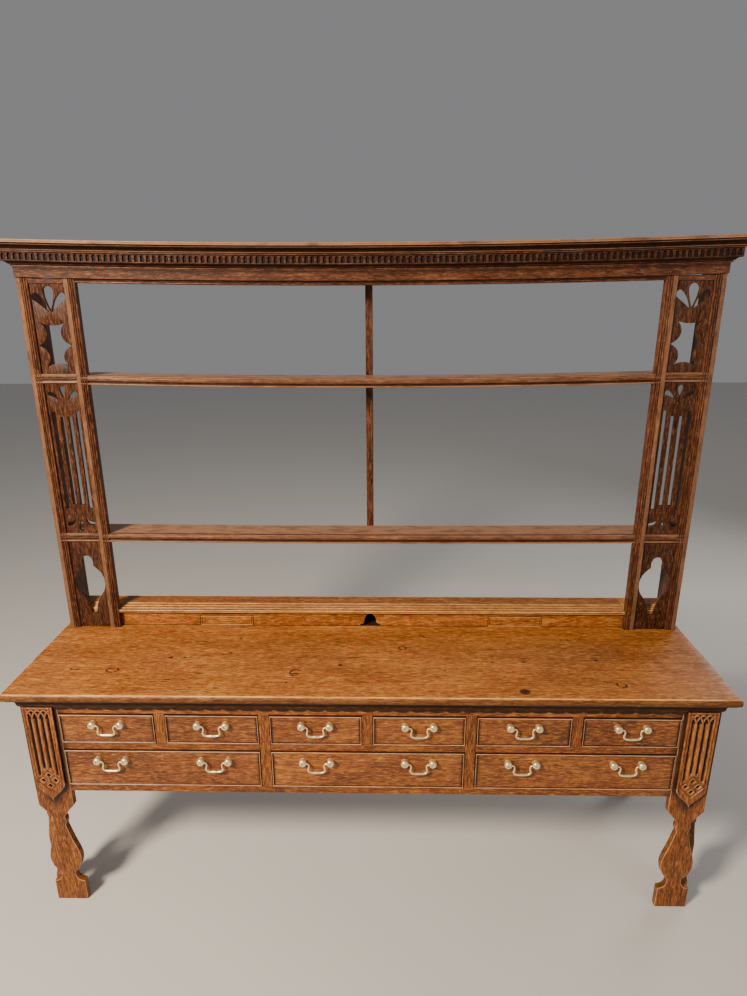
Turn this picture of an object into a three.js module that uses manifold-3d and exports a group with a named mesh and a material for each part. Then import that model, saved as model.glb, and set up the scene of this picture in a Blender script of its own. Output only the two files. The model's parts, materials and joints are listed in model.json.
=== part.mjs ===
// A welsh dresser: an oak dresser base on silhouette legs, with nine cock-beaded drawers on swan-neck
// handles, and an open rack above it between pierced pilasters, under a dentil cornice.
// Millimetres. X runs to the right, Y towards the wall, Z up. The origin is on the floor, at the
// middle of the whole dresser.

import * as THREE from 'three';
import { mergeVertices } from 'three/addons/utils/BufferGeometryUtils.js';
import Module from 'manifold-3d';

const wasm = await Module();
wasm.setup();

// Fits
const fit = 0.3; // between two pieces that meet
const overrun = 2; // a cutter past the face it opens
const sunk = 2; // a piece into the one it is joined with

// Working top
const boardTop = 840; // height above the floor
const boardThick = 25.5;
const boardHalf = 1114.5; // half the width, at the top edge
const boardDepth = 575;
const boardOverhang = 30.4; // past the carcase, at the front and the ends
const noseProud = 8; // the rounded edge past the top edge

// Carcase of the base
const stileWidth = 116.3;
const stileThick = 22;
const topRailHeight = 62.2;
const smallRowHeight = 107; // between the rails that a row of drawers fills
const middleRailHeight = 25;
const longRowHeight = 136;
const bottomRailHeight = 26;
const muntinWidth = 33;
const fullMuntinShare = 0.334; // middles of the upright dividers, of half the width between the stiles
const outerMuntinShare = 0.672;
const rearLegWidth = 70;
const rearLegThick = 22;
const rearSetback = 4; // rear legs inside the rear edge of the top
const endPanelThick = 16;
const endPanelSetback = 4;
const backPanelThick = 12;
const dustBoardThick = 14;
const guideWidth = 22;
const guideHeight = 16;

// Front legs, sawn to a silhouette below the carcase
const blockDrop = 60; // square block of the leg below the bottom rail
const shoulderDrop = 50;
const neckHalf = 20.5;
const neckBeadProud = 4;
const neckBeadHeight = 28;
const neckHeight = 10; // plain neck between the bead and the pear
const pearHalf = 53;
const ankleHalf = 23.5;
const ankleHeight = 117;
const footHalf = 52;
const footHeight = 80;

// Cove under the top, and the scalloped strip below it
const coveDrop = 36;
const coveProud = 27;
const coveFoot = 4;
const scallopPitch = 53;
const scallopDeep = 8;
const scallopHeight = 10;
const scallopThick = 4;

// Shields on the front stiles
const shieldWidth = 94.5;
const shieldThick = 10;
const shieldHeight = 353;
const shieldPoint = 69; // height of the pointed foot
const piercingHalf = 7;
const piercingSpread = 20;
const piercingRise = 80; // middle of the piercings above the point

// Drawers
const drawerSideGap = 1.5;
const drawerTopGap = 4;
const drawerFrontThick = 20;
const drawerLength = 470;
const drawerWall = 9;
const drawerFloor = 8;
const beadWidth = 4;
const beadProud = 3;
const smallHandleRise = 18; // handle above the middle of the drawer
const longHandleRise = 30;

// Handles
const handleBore = 88; // between the two posts
const bailDrop = 34;
const bailRadius = 2.4;
const pinReach = 6.5; // bail's pin past the middle of its post
const roseRadius = 12.5;
const roseThick = 3.4;
const postRadius = 3.6;
const postReach = 13; // bail's axis in front of the drawer
const knobRadius = 6;
const pinHoleRadius = 3.3;

// Rack
const rackInset = 17.8; // ends of the rack inside the ends of the working top
const rackSetback = 35.3; // rear of the rack inside the rear edge of the top
const rackDepth = 120;
const pilasterWidth = 184;
const pilasterThick = 20;
const reededWidth = 36;
const reedFillet = 14.5;
const reedDeep = 3;
const reedCount = 3;
const endBoardThick = 25;
const fretThick = 10;
const fretSetback = 7;
const lowerShelfRise = 365; // top of the shelf above the working top
const upperShelfRise = 551; // above the lower shelf
const friezeRise = 329; // top of the frieze above the upper shelf
const shelfThick = 16;
const shelfEdge = 29;
const shelfNose = 9;
const stripNose = 4.5; // the same moulding where it is planted on the fret boards
const shelfRear = 12; // rear of the shelves inside the rack
const lowerShelfSag = 6;
const upperShelfSag = 17;
const mullionWidth = 24;
const corniceSag = 16;
const friezeHeight = 31;
const friezeProud = 6;
const friezeTongue = 14; // below the frieze, between the pilasters
const corniceHeight = 75;
const corniceProud = 62;
const roofThick = 14;

// Dentil strip
const dentilPitch = 18.5;
const dentilSlot = 8.2;
const dentilSlotHeight = 20;
const dentilHeight = 26;
const dentilThick = 7;
const dentilBandShare = 0.3; // how far the band behind the strip stands out, of the cornice
const dentilFootShare = 0.2; // its foot, of the height of the cornice

// Gallery of small drawers on the working top
const galleryHeight = 58;
const galleryDepth = 80;
const galleryWall = 11;
const galleryCapRise = 21;
const galleryCapSlope = 34;
const galleryNose = 16;
const galleryDrawerPlace = 526;
const galleryDrawerWidth = 192;
const galleryDrawerHeight = 38;
const galleryDrawerGap = 1;
const galleryDrawerThick = 6;
const archFoot = 40;
const archWaist = 22;
const archHeight = 51;

// Finishes
const oakColour = '#8a5330';
const darkOakColour = '#6f4028';
const topColour = '#b0713a';
const innerColour = '#9a7248';
const brassColour = '#d9c48a';

// Places that follow from the sizes
const arrisY = (noseProud - boardDepth) / 2;
const rearY = arrisY + boardDepth;
const carcaseY = arrisY + boardOverhang;
const carcaseHalf = boardHalf - boardOverhang;
const openingHalf = carcaseHalf - stileWidth;
const legX = carcaseHalf - stileWidth / 2;
const underBoard = boardTop - boardThick - fit;
const legRearY = rearY - rearSetback;
const coveFootZ = underBoard - coveDrop;
const topRailEdge = underBoard - topRailHeight;
const middleRailTop = topRailEdge - smallRowHeight;
const middleRailEdge = middleRailTop - middleRailHeight;
const bottomRailTop = middleRailEdge - longRowHeight;
const bottomRailEdge = bottomRailTop - bottomRailHeight;
const blockEnd = bottomRailEdge - blockDrop;
const fullMuntinPlace = fullMuntinShare * openingHalf;
const outerMuntinPlace = outerMuntinShare * openingHalf;
const lowerShelfTop = boardTop + lowerShelfRise;
const upperShelfTop = lowerShelfTop + upperShelfRise;
const friezeTop = upperShelfTop + friezeRise;
const friezeFoot = friezeTop - friezeHeight;
const rackHalf = boardHalf - rackInset;
const rackRear = rearY - rackSetback;
const rackFace = rackRear - rackDepth; // front of the pilasters
const pilasterRear = rackFace + pilasterThick;
const pilasterX = rackHalf - pilasterWidth / 2;
const bayHalf = rackHalf - pilasterWidth;
const rackFoot = boardTop + fit;
const shelfRearY = rackRear - shelfRear;
const innerHalf = rackHalf - endBoardThick;

// Finishes and nodes

const dresser = new THREE.Group();

function addPiece(name, shape, colour, roughness, metalness) {
  const material = new THREE.MeshStandardMaterial({ color: colour, roughness, metalness, flatShading: true });
  const geometry = shape.isBufferGeometry ? shape : toGeometry(shape);
  const mesh = new THREE.Mesh(geometry, material);
  mesh.name = name;
  dresser.add(mesh);
}

function addOak(name, shape) {
  addPiece(name, shape, oakColour, 0.5, 0);
}

function addDarkOak(name, shape) {
  addPiece(name, shape, darkOakColour, 0.55, 0);
}

function addInner(name, shape) {
  addPiece(name, shape, innerColour, 0.8, 0);
}

// Solids: joining and cutting

function toSolid(geometry) {
  const bare = new THREE.BufferGeometry();
  bare.setAttribute('position', geometry.getAttribute('position'));
  bare.setIndex(geometry.getIndex());
  const welded = mergeVertices(bare);
  const corners = welded.getIndex().array;
  const kept = [];
  for (let i = 0; i < corners.length; i += 3) {
    const [a, b, c] = [corners[i], corners[i + 1], corners[i + 2]];
    if (a !== b && b !== c && c !== a) kept.push(a, b, c);
  }
  const vertProperties = new Float32Array(welded.getAttribute('position').array);
  return new wasm.Manifold(new wasm.Mesh({ numProp: 3, vertProperties, triVerts: new Uint32Array(kept) }));
}

function toGeometry(solid) {
  const mesh = solid.getMesh();
  const geometry = new THREE.BufferGeometry();
  geometry.setAttribute('position', new THREE.BufferAttribute(mesh.vertProperties, 3));
  geometry.setIndex(new THREE.BufferAttribute(mesh.triVerts, 1));
  return geometry;
}

function joined(solids) {
  return solids.reduce((whole, next) => whole.add(next));
}

function cutAway(solid, cutters) {
  return cutters.reduce((left, cutter) => left.subtract(cutter), solid);
}

// Shapes

// A block between two corners.
function block(x0, x1, y0, y1, z0, z1) {
  const geometry = new THREE.BoxGeometry(x1 - x0, y1 - y0, z1 - z0);
  geometry.translate((x0 + x1) / 2, (y0 + y1) / 2, (z0 + z1) / 2);
  return toSolid(geometry);
}

// A board from y0 to y1 whose face is an outline of [x, z] points, with pierced holes.
function plate(outline, holes, y0, y1) {
  const toVectors = (points) => points.map(([x, z]) => new THREE.Vector2(x, z));
  const shape = new THREE.Shape(toVectors(outline));
  shape.holes = holes.map((hole) => new THREE.Path(toVectors(hole)));
  const geometry = new THREE.ExtrudeGeometry(shape, { depth: y1 - y0, bevelEnabled: false });
  geometry.rotateX(Math.PI / 2);
  geometry.translate(0, y1, 0);
  return toSolid(geometry);
}

// Rings of points joined into one closed skin; the two ends are filled as the flat profile is.
function loft(rings, profile) {
  const count = profile.length;
  const index = [];
  for (let ring = 0; ring < rings.length - 1; ring += 1) {
    for (let i = 0; i < count; i += 1) {
      const a = ring * count + i;
      const b = ring * count + ((i + 1) % count);
      index.push(a, b, b + count, a, b + count, a + count);
    }
  }
  const flat = profile.map(([u, v]) => new THREE.Vector2(u, v));
  const last = (rings.length - 1) * count;
  const clockwise = THREE.ShapeUtils.isClockWise(flat);
  for (const [a, b, c] of THREE.ShapeUtils.triangulateShape(flat, [])) {
    const [p, q, r] = clockwise ? [a, c, b] : [a, b, c];
    index.push(r, q, p, last + p, last + q, last + r);
  }
  const geometry = new THREE.BufferGeometry();
  geometry.setAttribute('position', new THREE.Float32BufferAttribute(rings.flat(2), 3));
  geometry.setIndex(index);
  if (signedVolume(rings.flat(), index) < 0) {
    for (let i = 0; i < index.length; i += 3) [index[i], index[i + 1]] = [index[i + 1], index[i]];
    geometry.setIndex(index);
  }
  return toSolid(geometry);
}

function signedVolume(points, index) {
  let volume = 0;
  for (let i = 0; i < index.length; i += 3) {
    const [p, q, r] = [0, 1, 2].map((k) => new THREE.Vector3(...points[index[i + k]]));
    volume += p.dot(q.cross(r));
  }
  return volume;
}

// How far a piece that spans the dresser has sunk at x: nothing at its ends, all of it in the middle.
function sagAt(sag, x, half) {
  return sag * (1 - Math.min(1, (x / half) ** 2));
}

function stations(half) {
  const stationShares = [-1, -0.8, -0.6, -0.4, -0.2, 0, 0.2, 0.4, 0.6, 0.8, 1];
  return stationShares.map((share) => share * half);
}

// A board from -half to half with a profile of [y, z] points, sagging in the middle.
function sagging(profile, half, sag, sagHalf) {
  const rings = stations(half).map((x) => profile.map(([y, z]) => [x, y, z - sagAt(sag, x, sagHalf)]));
  return loft(rings, profile);
}

// A moulding round the front and both ends; its profile is [out, z] from the front and end faces.
function roundFrontAndEnds(profile, half, frontFace, rearFace, sag) {
  const inner = Math.min(...profile.map(([out]) => out));
  const middle = stations(half + inner).slice(1, -1);
  const rings = [profile.map(([out, z]) => [-half - out, rearFace, z])];
  rings.push(profile.map(([out, z]) => [-half - out, frontFace - out, z]));
  for (const x of middle) rings.push(profile.map(([out, z]) => [x, frontFace - out, z - sagAt(sag, x, half)]));
  rings.push(profile.map(([out, z]) => [half + out, frontFace - out, z]));
  rings.push(profile.map(([out, z]) => [half + out, rearFace, z]));
  return loft(rings, profile);
}

// The right half of an outline, from its foot up, closed by its mirror image.
function bothSides(right, middle) {
  const left = right.map(([x, z]) => [middle - x, z]).reverse();
  return right.map(([x, z]) => [middle + x, z]).concat(left);
}

function mirrored(points) {
  return points.map(([x, z]) => [-x, z]).reverse();
}

// Points on a smooth curve through the given ones.
function smooth(points, count) {
  const curve = new THREE.SplineCurve(points.map(([x, z]) => new THREE.Vector2(x, z)));
  return curve.getPoints(count).map((p) => [p.x, p.y]);
}

// Points on a curve that leaves the first point towards the second and ends at the third.
function bend(from, towards, to, count) {
  const [a, b, c] = [from, towards, to].map(([x, z]) => new THREE.Vector2(x, z));
  return new THREE.QuadraticBezierCurve(a, b, c).getPoints(count).map((p) => [p.x, p.y]);
}

// Working top: a slab whose edge is rounded at the front and the ends.
function makeTopBoard() {
  const edgeShares = [[0, 0], [0.62, 0.06], [1, 0.36], [1, 0.6], [0.7, 0.86], [0.3, 0.97], [0, 1]];
  const rings = edgeShares.map(([outShare, upShare]) => {
    const x = boardHalf + outShare * noseProud;
    const y = arrisY - outShare * noseProud;
    const z = boardTop - boardThick + upShare * boardThick;
    return [[-x, y, z], [x, y, z], [x, rearY, z], [-x, rearY, z]];
  });
  return loft(rings, rings[0]);
}

// Silhouette of a leg as high as the carcase: a square block, a neck, a pear and a square foot.
function frontLegOutline() {
  const half = stileWidth / 2;
  const shoulderEnd = blockEnd - shoulderDrop;
  const beadFoot = shoulderEnd - neckBeadHeight;
  const pearTop = beadFoot - neckHeight;
  const pearShares = [[1, 0.33], [0.9, 0.5], [0.66, 0.71]];
  const pearHeight = pearTop - ankleHeight;
  const pear = pearShares.map(([out, up]) => [out * pearHalf, ankleHeight + up * pearHeight]);
  const lowPearShares = [0.84, 0.14];
  const lowPear = [lowPearShares[0] * pearHalf, ankleHeight + lowPearShares[1] * pearHeight];
  const right = [[footHalf, 0], [footHalf, footHeight]];
  right.push(...bend([footHalf, footHeight], [ankleHalf, footHeight], [ankleHalf, ankleHeight], 3).slice(1));
  right.push(...smooth([[ankleHalf, ankleHeight], lowPear, ...pear, [neckHalf, pearTop]], 14).slice(1));
  right.push([neckHalf, beadFoot]);
  const beadMiddle = [neckHalf + 2 * neckBeadProud, (beadFoot + shoulderEnd) / 2];
  right.push(...bend([neckHalf, beadFoot], beadMiddle, [neckHalf, shoulderEnd], 4).slice(1));
  const shoulderCorner = [(neckHalf + half) / 3, (shoulderEnd + blockEnd) / 2 - shoulderDrop / 5];
  right.push(...bend([neckHalf, shoulderEnd], shoulderCorner, [half, blockEnd], 5).slice(1));
  right.push([half, underBoard]);
  return right;
}

// Front leg: a plank at the front and its return along the end, glued at the corner, of one silhouette.
function makeFrontLeg(side) {
  const front = plate(bothSides(frontLegOutline(), side * legX), [], carcaseY, carcaseY + stileThick);
  const outline = bothSides(frontLegOutline(), carcaseY + stileWidth / 2);
  const outer = side > 0 ? -carcaseHalf : carcaseHalf - stileThick;
  return front.add(plate(outline, [], outer, outer + stileThick).rotate([0, 0, 90]));
}

// Shield: an applied plate with a pointed foot, pierced by a ring of diamonds above the point.
function makeShield(side) {
  const half = shieldWidth / 2;
  const top = coveFootZ - fit;
  const foot = top - shieldHeight;
  const middle = side * legX;
  const right = bend([0, foot], [half / 2, foot + shieldPoint / 2], [half, foot + shieldPoint], 3).concat([[half, top]]);
  const outline = bothSides(right, middle).filter(([, z], i) => !(z === foot && i > 0));
  const diamond = (x, z) => [[x - piercingHalf, z], [x, z - piercingHalf], [x + piercingHalf, z], [x, z + piercingHalf]];
  const level = foot + piercingRise;
  const diamonds = [
    diamond(middle - piercingSpread, level),
    diamond(middle + piercingSpread, level),
    diamond(middle, level - piercingSpread),
    diamond(middle, level + piercingSpread),
  ];
  return plate(outline, diamonds, carcaseY - fit - shieldThick, carcaseY - fit);
}

function makeBaseFrame() {
  const railY = [carcaseY, carcaseY + stileThick];
  const half = openingHalf - fit;
  addOak('top_rail', block(-half, half, ...railY, topRailEdge, underBoard));
  addOak('middle_rail', makeMiddleRail());
  addOak('bottom_rail', block(-half, half, ...railY, bottomRailEdge, bottomRailTop));
  for (const [side, word] of [[-1, 'left'], [1, 'right']]) {
    addOak(`full_muntin_${word}`, makeMuntin(side * fullMuntinPlace, bottomRailTop));
    addOak(`short_muntin_${word}`, makeMuntin(side * outerMuntinPlace, middleRailTop));
    addOak(`front_leg_${word}`, makeFrontLeg(side));
    addDarkOak(`gothic_shield_${word}`, makeShield(side));
    addOak(`rear_leg_${word}`, makeRearLeg(side));
    addOak(`end_panel_${word}`, makeEndPanel(side));
  }
  addOak('short_muntin_middle', makeMuntin(0, middleRailTop));
}

// The middle rail is notched round the two dividers that run past it.
function makeMiddleRail() {
  const rail = block(-openingHalf + fit, openingHalf - fit, carcaseY, carcaseY + stileThick, middleRailEdge, middleRailTop);
  const notchHalf = muntinWidth / 2 + fit;
  const notches = [-1, 1].map((side) => {
    const middle = side * fullMuntinPlace;
    const rear = carcaseY + muntinFaceThick() + fit;
    return block(middle - notchHalf, middle + notchHalf, carcaseY - overrun, rear,
      middleRailEdge - overrun, middleRailTop + overrun);
  });
  return cutAway(rail, notches);
}

function muntinFaceThick() {
  return stileThick / 2;
}

function makeMuntin(middle, foot) {
  const half = muntinWidth / 2;
  const rear = carcaseY + (foot === bottomRailTop ? muntinFaceThick() : stileThick);
  return block(middle - half, middle + half, carcaseY, rear, foot + fit, topRailEdge - fit);
}

function makeRearLeg(side) {
  const outer = side * carcaseHalf;
  const inner = side * (carcaseHalf - rearLegWidth);
  return block(Math.min(outer, inner), Math.max(outer, inner), legRearY - rearLegThick, legRearY, 0, underBoard);
}

function makeEndPanel(side) {
  const outer = side * (carcaseHalf - endPanelSetback);
  const inner = side * (carcaseHalf - endPanelSetback - endPanelThick);
  const front = carcaseY + stileWidth + fit;
  const rear = legRearY - rearLegThick - fit;
  return block(Math.min(outer, inner), Math.max(outer, inner), front, rear, bottomRailEdge, underBoard);
}

function makeBackPanel() {
  const half = carcaseHalf - rearLegWidth - fit;
  return block(-half, half, legRearY - rearLegThick, legRearY - rearLegThick + backPanelThick, bottomRailEdge, underBoard);
}

// A dust board carries a row of drawers and has a guide behind each divider.
function makeDustBoard(top, guidePlaces) {
  const half = carcaseHalf - stileThick - fit;
  const front = carcaseY + stileThick + fit;
  const rear = legRearY - rearLegThick - fit;
  const board = block(-half, half, front, rear, top - dustBoardThick, top);
  const guides = guidePlaces.map((middle) => block(middle - guideWidth / 2, middle + guideWidth / 2,
    front, rear, top - sunk, top + guideHeight));
  const ends = [-1, 1].map((side) => {
    const inner = side * (openingHalf + drawerSideGap);
    const outer = side * half;
    return block(Math.min(inner, outer), Math.max(inner, outer), front, rear, top - sunk, top + guideHeight);
  });
  return joined([board, ...guides, ...ends]);
}

// Cove: hollow from the underside of the top in to the carcase, with a square foot.
function makeCove() {
  const hollowShares = [[0.22, 0.1], [0.3, 0.42], [0.52, 0.74], [1, 1]];
  const footFace = coveFoot + fit;
  const hollow = hollowShares.map(([out, up]) => [footFace + out * (coveProud - footFace), coveFootZ + up * coveDrop]);
  const profile = [[fit, coveFootZ], [footFace, coveFootZ], ...hollow, [fit, underBoard]];
  return roundFrontAndEnds(profile, carcaseHalf, carcaseY, rearY - rearSetback, 0);
}

// Scalloped strip: a thin board with a foot of hanging arcs that meet in upward points.
function makeScallops() {
  const half = legX - shieldWidth / 2 - fit;
  const top = coveFootZ - fit;
  const foot = top - scallopHeight;
  const count = Math.round((2 * half) / scallopPitch);
  const pitch = (2 * half) / count;
  const steps = 4;
  const edge = [];
  for (let i = 0; i <= count * steps; i += 1) {
    const across = ((i % steps) / steps) * 2 - 1;
    edge.push([-half + (i * pitch) / steps, foot + scallopDeep * across * across]);
  }
  return plate([...edge, [half, top], [-half, top]], [], carcaseY - fit - scallopThick, carcaseY - fit);
}

// Handle post: a round rose, a stem and a knob with a cross hole for the pin of the bail.
function makePost(x, fieldY, z) {
  const profile = [
    [0, -sunk],
    [roseRadius, -sunk],
    [roseRadius, roseThick / 2],
    [postRadius, roseThick],
    [postRadius, postReach - knobRadius],
    [knobRadius, postReach - knobRadius / 2],
    [knobRadius, postReach + knobRadius / 2],
    [0, postReach + knobRadius],
  ];
  const post = new THREE.LatheGeometry(profile.map(([r, out]) => new THREE.Vector2(r, out)), 8);
  post.rotateX(Math.PI);
  post.translate(x, fieldY, z);
  const hole = new THREE.CylinderGeometry(pinHoleRadius, pinHoleRadius, 2 * (knobRadius + overrun), 8);
  hole.rotateZ(Math.PI / 2);
  hole.translate(x, fieldY - postReach, z);
  return toSolid(post).subtract(toSolid(hole));
}

// Swan-neck bail: its arms swell out below a narrow neck, and its ends turn outwards into the posts.
function makeBail(x, fieldY, z) {
  const armShares = [[0.86, 0], [0.62, -0.05], [0.54, -0.2], [0.57, -0.44], [0.61, -0.64], [0.57, -0.85], [0.4, -0.97]];
  const half = handleBore / 2;
  const arm = armShares.map(([out, down]) => [out * half, down * bailDrop]);
  const right = [[half + pinReach, 0], ...arm];
  const route = [...right, [0, -bailDrop], ...mirrored(right)];
  const points = route.map(([across, up]) => new THREE.Vector3(x + across, fieldY - postReach, z + up));
  const path = new THREE.CatmullRomCurve3(points, false, 'centripetal');
  const section = new THREE.Shape();
  section.absarc(0, 0, bailRadius, 0, Math.PI * 2);
  const options = { steps: 22, curveSegments: 3, bevelEnabled: false, extrudePath: path };
  return toSolid(new THREE.ExtrudeGeometry(section, options));
}

// Drawer: a front with a cock bead round its field, an open box behind it, and its handle posts.
function makeDrawer(x0, x1, z0, z1, handlePlaces, handleZ) {
  const bead = carcaseY - beadProud;
  const frontRear = carcaseY + drawerFrontThick;
  const rear = carcaseY + drawerLength;
  const front = block(x0, x1, bead, frontRear, z0, z1);
  const field = block(x0 + beadWidth, x1 - beadWidth, bead - overrun, carcaseY, z0 + beadWidth, z1 - beadWidth);
  const box = block(x0 + drawerSideGap, x1 - drawerSideGap, frontRear - sunk, rear, z0, z1 - drawerTopGap);
  const inside = block(x0 + drawerSideGap + drawerWall, x1 - drawerSideGap - drawerWall, frontRear, rear - drawerWall,
    z0 + drawerFloor, z1 + overrun);
  const posts = handlePlaces.flatMap((x) => [
    makePost(x - handleBore / 2, carcaseY, handleZ),
    makePost(x + handleBore / 2, carcaseY, handleZ),
  ]);
  return joined([cutAway(joined([cutAway(front, [field]), box]), [inside]), ...posts]);
}

// A row of drawers between dividers, each with the bails that hang on it.
function makeDrawerRow(word, dividers, foot, ceiling, handlesPerDrawer, rise) {
  const edges = [-openingHalf, ...dividers.flatMap((x) => [x - muntinWidth / 2, x + muntinWidth / 2]), openingHalf];
  const z0 = foot + fit;
  const z1 = ceiling - drawerTopGap;
  const handleZ = (foot + ceiling) / 2 + rise;
  for (let i = 0; i < edges.length; i += 2) {
    const number = i / 2 + 1;
    const x0 = edges[i] + drawerSideGap;
    const x1 = edges[i + 1] - drawerSideGap;
    const places = handlesPerDrawer[number - 1];
    addOak(`${word}_drawer_${number}`, makeDrawer(x0, x1, z0, z1, places, handleZ));
    places.forEach((x, k) => {
      const letter = places.length > 1 ? ['a', 'b'][k] : '';
      addPiece(`${word}_bail_${number}${letter}`, makeBail(x, carcaseY, handleZ), brassColour, 0.3, 1);
    });
  }
}

function makeDrawers() {
  const smallDividers = [-outerMuntinPlace, -fullMuntinPlace, 0, fullMuntinPlace, outerMuntinPlace];
  const walls = [-openingHalf - muntinWidth / 2, ...smallDividers, openingHalf + muntinWidth / 2];
  const middles = walls.slice(1).map((x, i) => (x + walls[i]) / 2);
  makeDrawerRow('small', smallDividers, middleRailTop, topRailEdge, middles.map((x) => [x]), smallHandleRise);
  const pairs = [middles.slice(0, 2), middles.slice(2, 4), middles.slice(4)];
  makeDrawerRow('long', [-fullMuntinPlace, fullMuntinPlace], bottomRailTop, middleRailEdge, pairs, longHandleRise);
}

// Pilaster frame: two reeded stiles, with the shelf moulding and a top strip planted between them.
function reededSection(x0) {
  const reedPitch = (reededWidth - reedFillet) / reedCount;
  const points = [[x0, pilasterRear], [x0, rackFace], [x0 + reedFillet, rackFace]];
  const reedShares = [[0.02, 1], [0.2, 0.3], [0.5, 0], [0.8, 0.3], [0.98, 1]];
  for (let reed = 0; reed < reedCount; reed += 1) {
    const from = x0 + reedFillet + reed * reedPitch;
    for (const [across, deep] of reedShares) points.push([from + across * reedPitch, rackFace + deep * reedDeep]);
  }
  points.push([x0 + reededWidth, pilasterRear]);
  return points;
}

// An upright with a section of [x, y] points.
function upright(section, z0, z1) {
  const shape = new THREE.Shape(section.map(([x, y]) => new THREE.Vector2(x, y)));
  const geometry = new THREE.ExtrudeGeometry(shape, { depth: z1 - z0, bevelEnabled: false });
  geometry.translate(0, 0, z0);
  return toSolid(geometry);
}

// The moulded edge of a shelf, as [y, z] points from the underside up.
function shelfEdgeProfile(top, rear, nose) {
  const edgeShares = [[0.1, 0], [0.1, 0.1], [0.62, 0.17], [0.75, 0.34], [0.28, 0.42], [0, 0.55], [0, 0.78], [0.3, 0.9], [0.3, 1]];
  const moulded = edgeShares.map(([deep, up]) => [rackFace + deep * nose, top - shelfEdge + up * shelfEdge]);
  return [[rear, top - shelfEdge], ...moulded, [rear, top]];
}

function straightAcross(profile, x0, x1) {
  return loft([x0, x1].map((x) => profile.map(([y, z]) => [x, y, z])), profile);
}

function makePilasterFrame(side) {
  const left = -pilasterX - pilasterWidth / 2;
  const headAt = (inner) => friezeFoot - fit - sagAt(corniceSag, inner, rackHalf);
  const places = [left, left + pilasterWidth - reededWidth];
  const stiles = places.map((x0) => upright(reededSection(x0), rackFoot, headAt(x0 + reededWidth)));
  const x0 = left + reededWidth - sunk;
  const x1 = left + pilasterWidth - reededWidth + sunk;
  const stripRear = rackFace + fretSetback - fit;
  const strips = [lowerShelfTop, upperShelfTop].map((top) => {
    return straightAcross(shelfEdgeProfile(top, stripRear, stripNose), x0, x1);
  });
  const topStrip = block(x0, x1, rackFace + reedDeep, stripRear, headAt(bayHalf) - friezeTongue, headAt(x1));
  const frame = joined([...stiles, ...strips, topStrip]);
  return side < 0 ? frame : frame.mirror([1, 0, 0]);
}

// A petal: a round end that tapers along a bowed line to a point, slowly at first.
function petal([endX, endZ], [tipX, tipZ], radius, bow) {
  const steps = 5;
  const taperShare = 1.5;
  const along = new THREE.Vector2(tipX - endX, tipZ - endZ);
  const across = new THREE.Vector2(-along.y, along.x).normalize();
  const onLine = (t, offset) => {
    const reach = offset + 4 * bow * t * (1 - t);
    return [endX + along.x * t + across.x * reach, endZ + along.y * t + across.y * reach];
  };
  const points = [[tipX, tipZ]];
  const halfWidth = (t) => radius * (1 - t ** taperShare);
  for (let i = steps - 1; i >= 1; i -= 1) points.push(onLine(i / steps, halfWidth(i / steps)));
  const turn = Math.atan2(across.y, across.x);
  for (let i = 0; i <= steps; i += 1) {
    const angle = turn + (Math.PI * i) / steps;
    points.push([endX + radius * Math.cos(angle), endZ + radius * Math.sin(angle)]);
  }
  for (let i = 1; i < steps; i += 1) points.push(onLine(i / steps, -halfWidth(i / steps)));
  return points;
}

// A spray of three petals whose points meet; up is 1, or -1 for one that hangs.
function spray(half, tipZ, height, endRadius, sideShares, up) {
  const side = [sideShares.end[0] * half, tipZ + up * sideShares.end[1] * height];
  const sideTip = [sideShares.tip[0] * half, tipZ + up * sideShares.tip[1] * height];
  const bow = up * sideShares.bow * endRadius;
  const right = petal(side, sideTip, sideShares.radius * endRadius, bow);
  const middle = petal([0, tipZ + up * (height - endRadius)], [0, tipZ], endRadius, 0);
  return [middle, right, mirrored(right)];
}

// An arc between two points that bulges by the given height to its left-hand side.
function bulge([x0, z0], [x1, z1], height, count) {
  const points = [];
  const length = Math.hypot(x1 - x0, z1 - z0);
  for (let i = 0; i < count; i += 1) {
    const t = i / count;
    const lift = 4 * height * t * (1 - t);
    points.push([x0 + (x1 - x0) * t - ((z1 - z0) / length) * lift, z0 + (z1 - z0) * t + ((x1 - x0) / length) * lift]);
  }
  return points;
}

// The three fields of a fret board, in shares of the field's half width and height.
function topFret(half, foot, height) {
  const cuspShares = [[0.62, 0.08], [0.93, 0.32], [0.69, 0.58]];
  const bulgeShares = [0.36, 0.4];
  const cusps = cuspShares.map(([x, z]) => [x * half, foot + z * height]);
  const [low, waist, high] = cusps;
  const flip = ([x, z]) => [-x, z];
  const steps = 6;
  const cutout = [
    ...bulge(flip(low), low, bulgeShares[0] * half / 2, steps),
    ...bulge(low, waist, bulgeShares[0] * half, steps),
    ...bulge(waist, high, bulgeShares[1] * half, steps),
    ...bulge(high, flip(high), bulgeShares[0] * half / 2, steps),
    ...bulge(flip(high), flip(waist), bulgeShares[1] * half, steps),
    ...bulge(flip(waist), flip(low), bulgeShares[0] * half, steps),
  ];
  const sprayShares = { tip: 0.7, height: 0.274, radius: 0.3 };
  const sideShares = { end: [0.74, 0.57], tip: [0.07, -0.05], radius: 0.83, bow: -0.3 };
  const tips = foot + sprayShares.tip * height;
  return [cutout, ...spray(half, tips, sprayShares.height * height, sprayShares.radius * half, sideShares, 1)];
}

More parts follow.
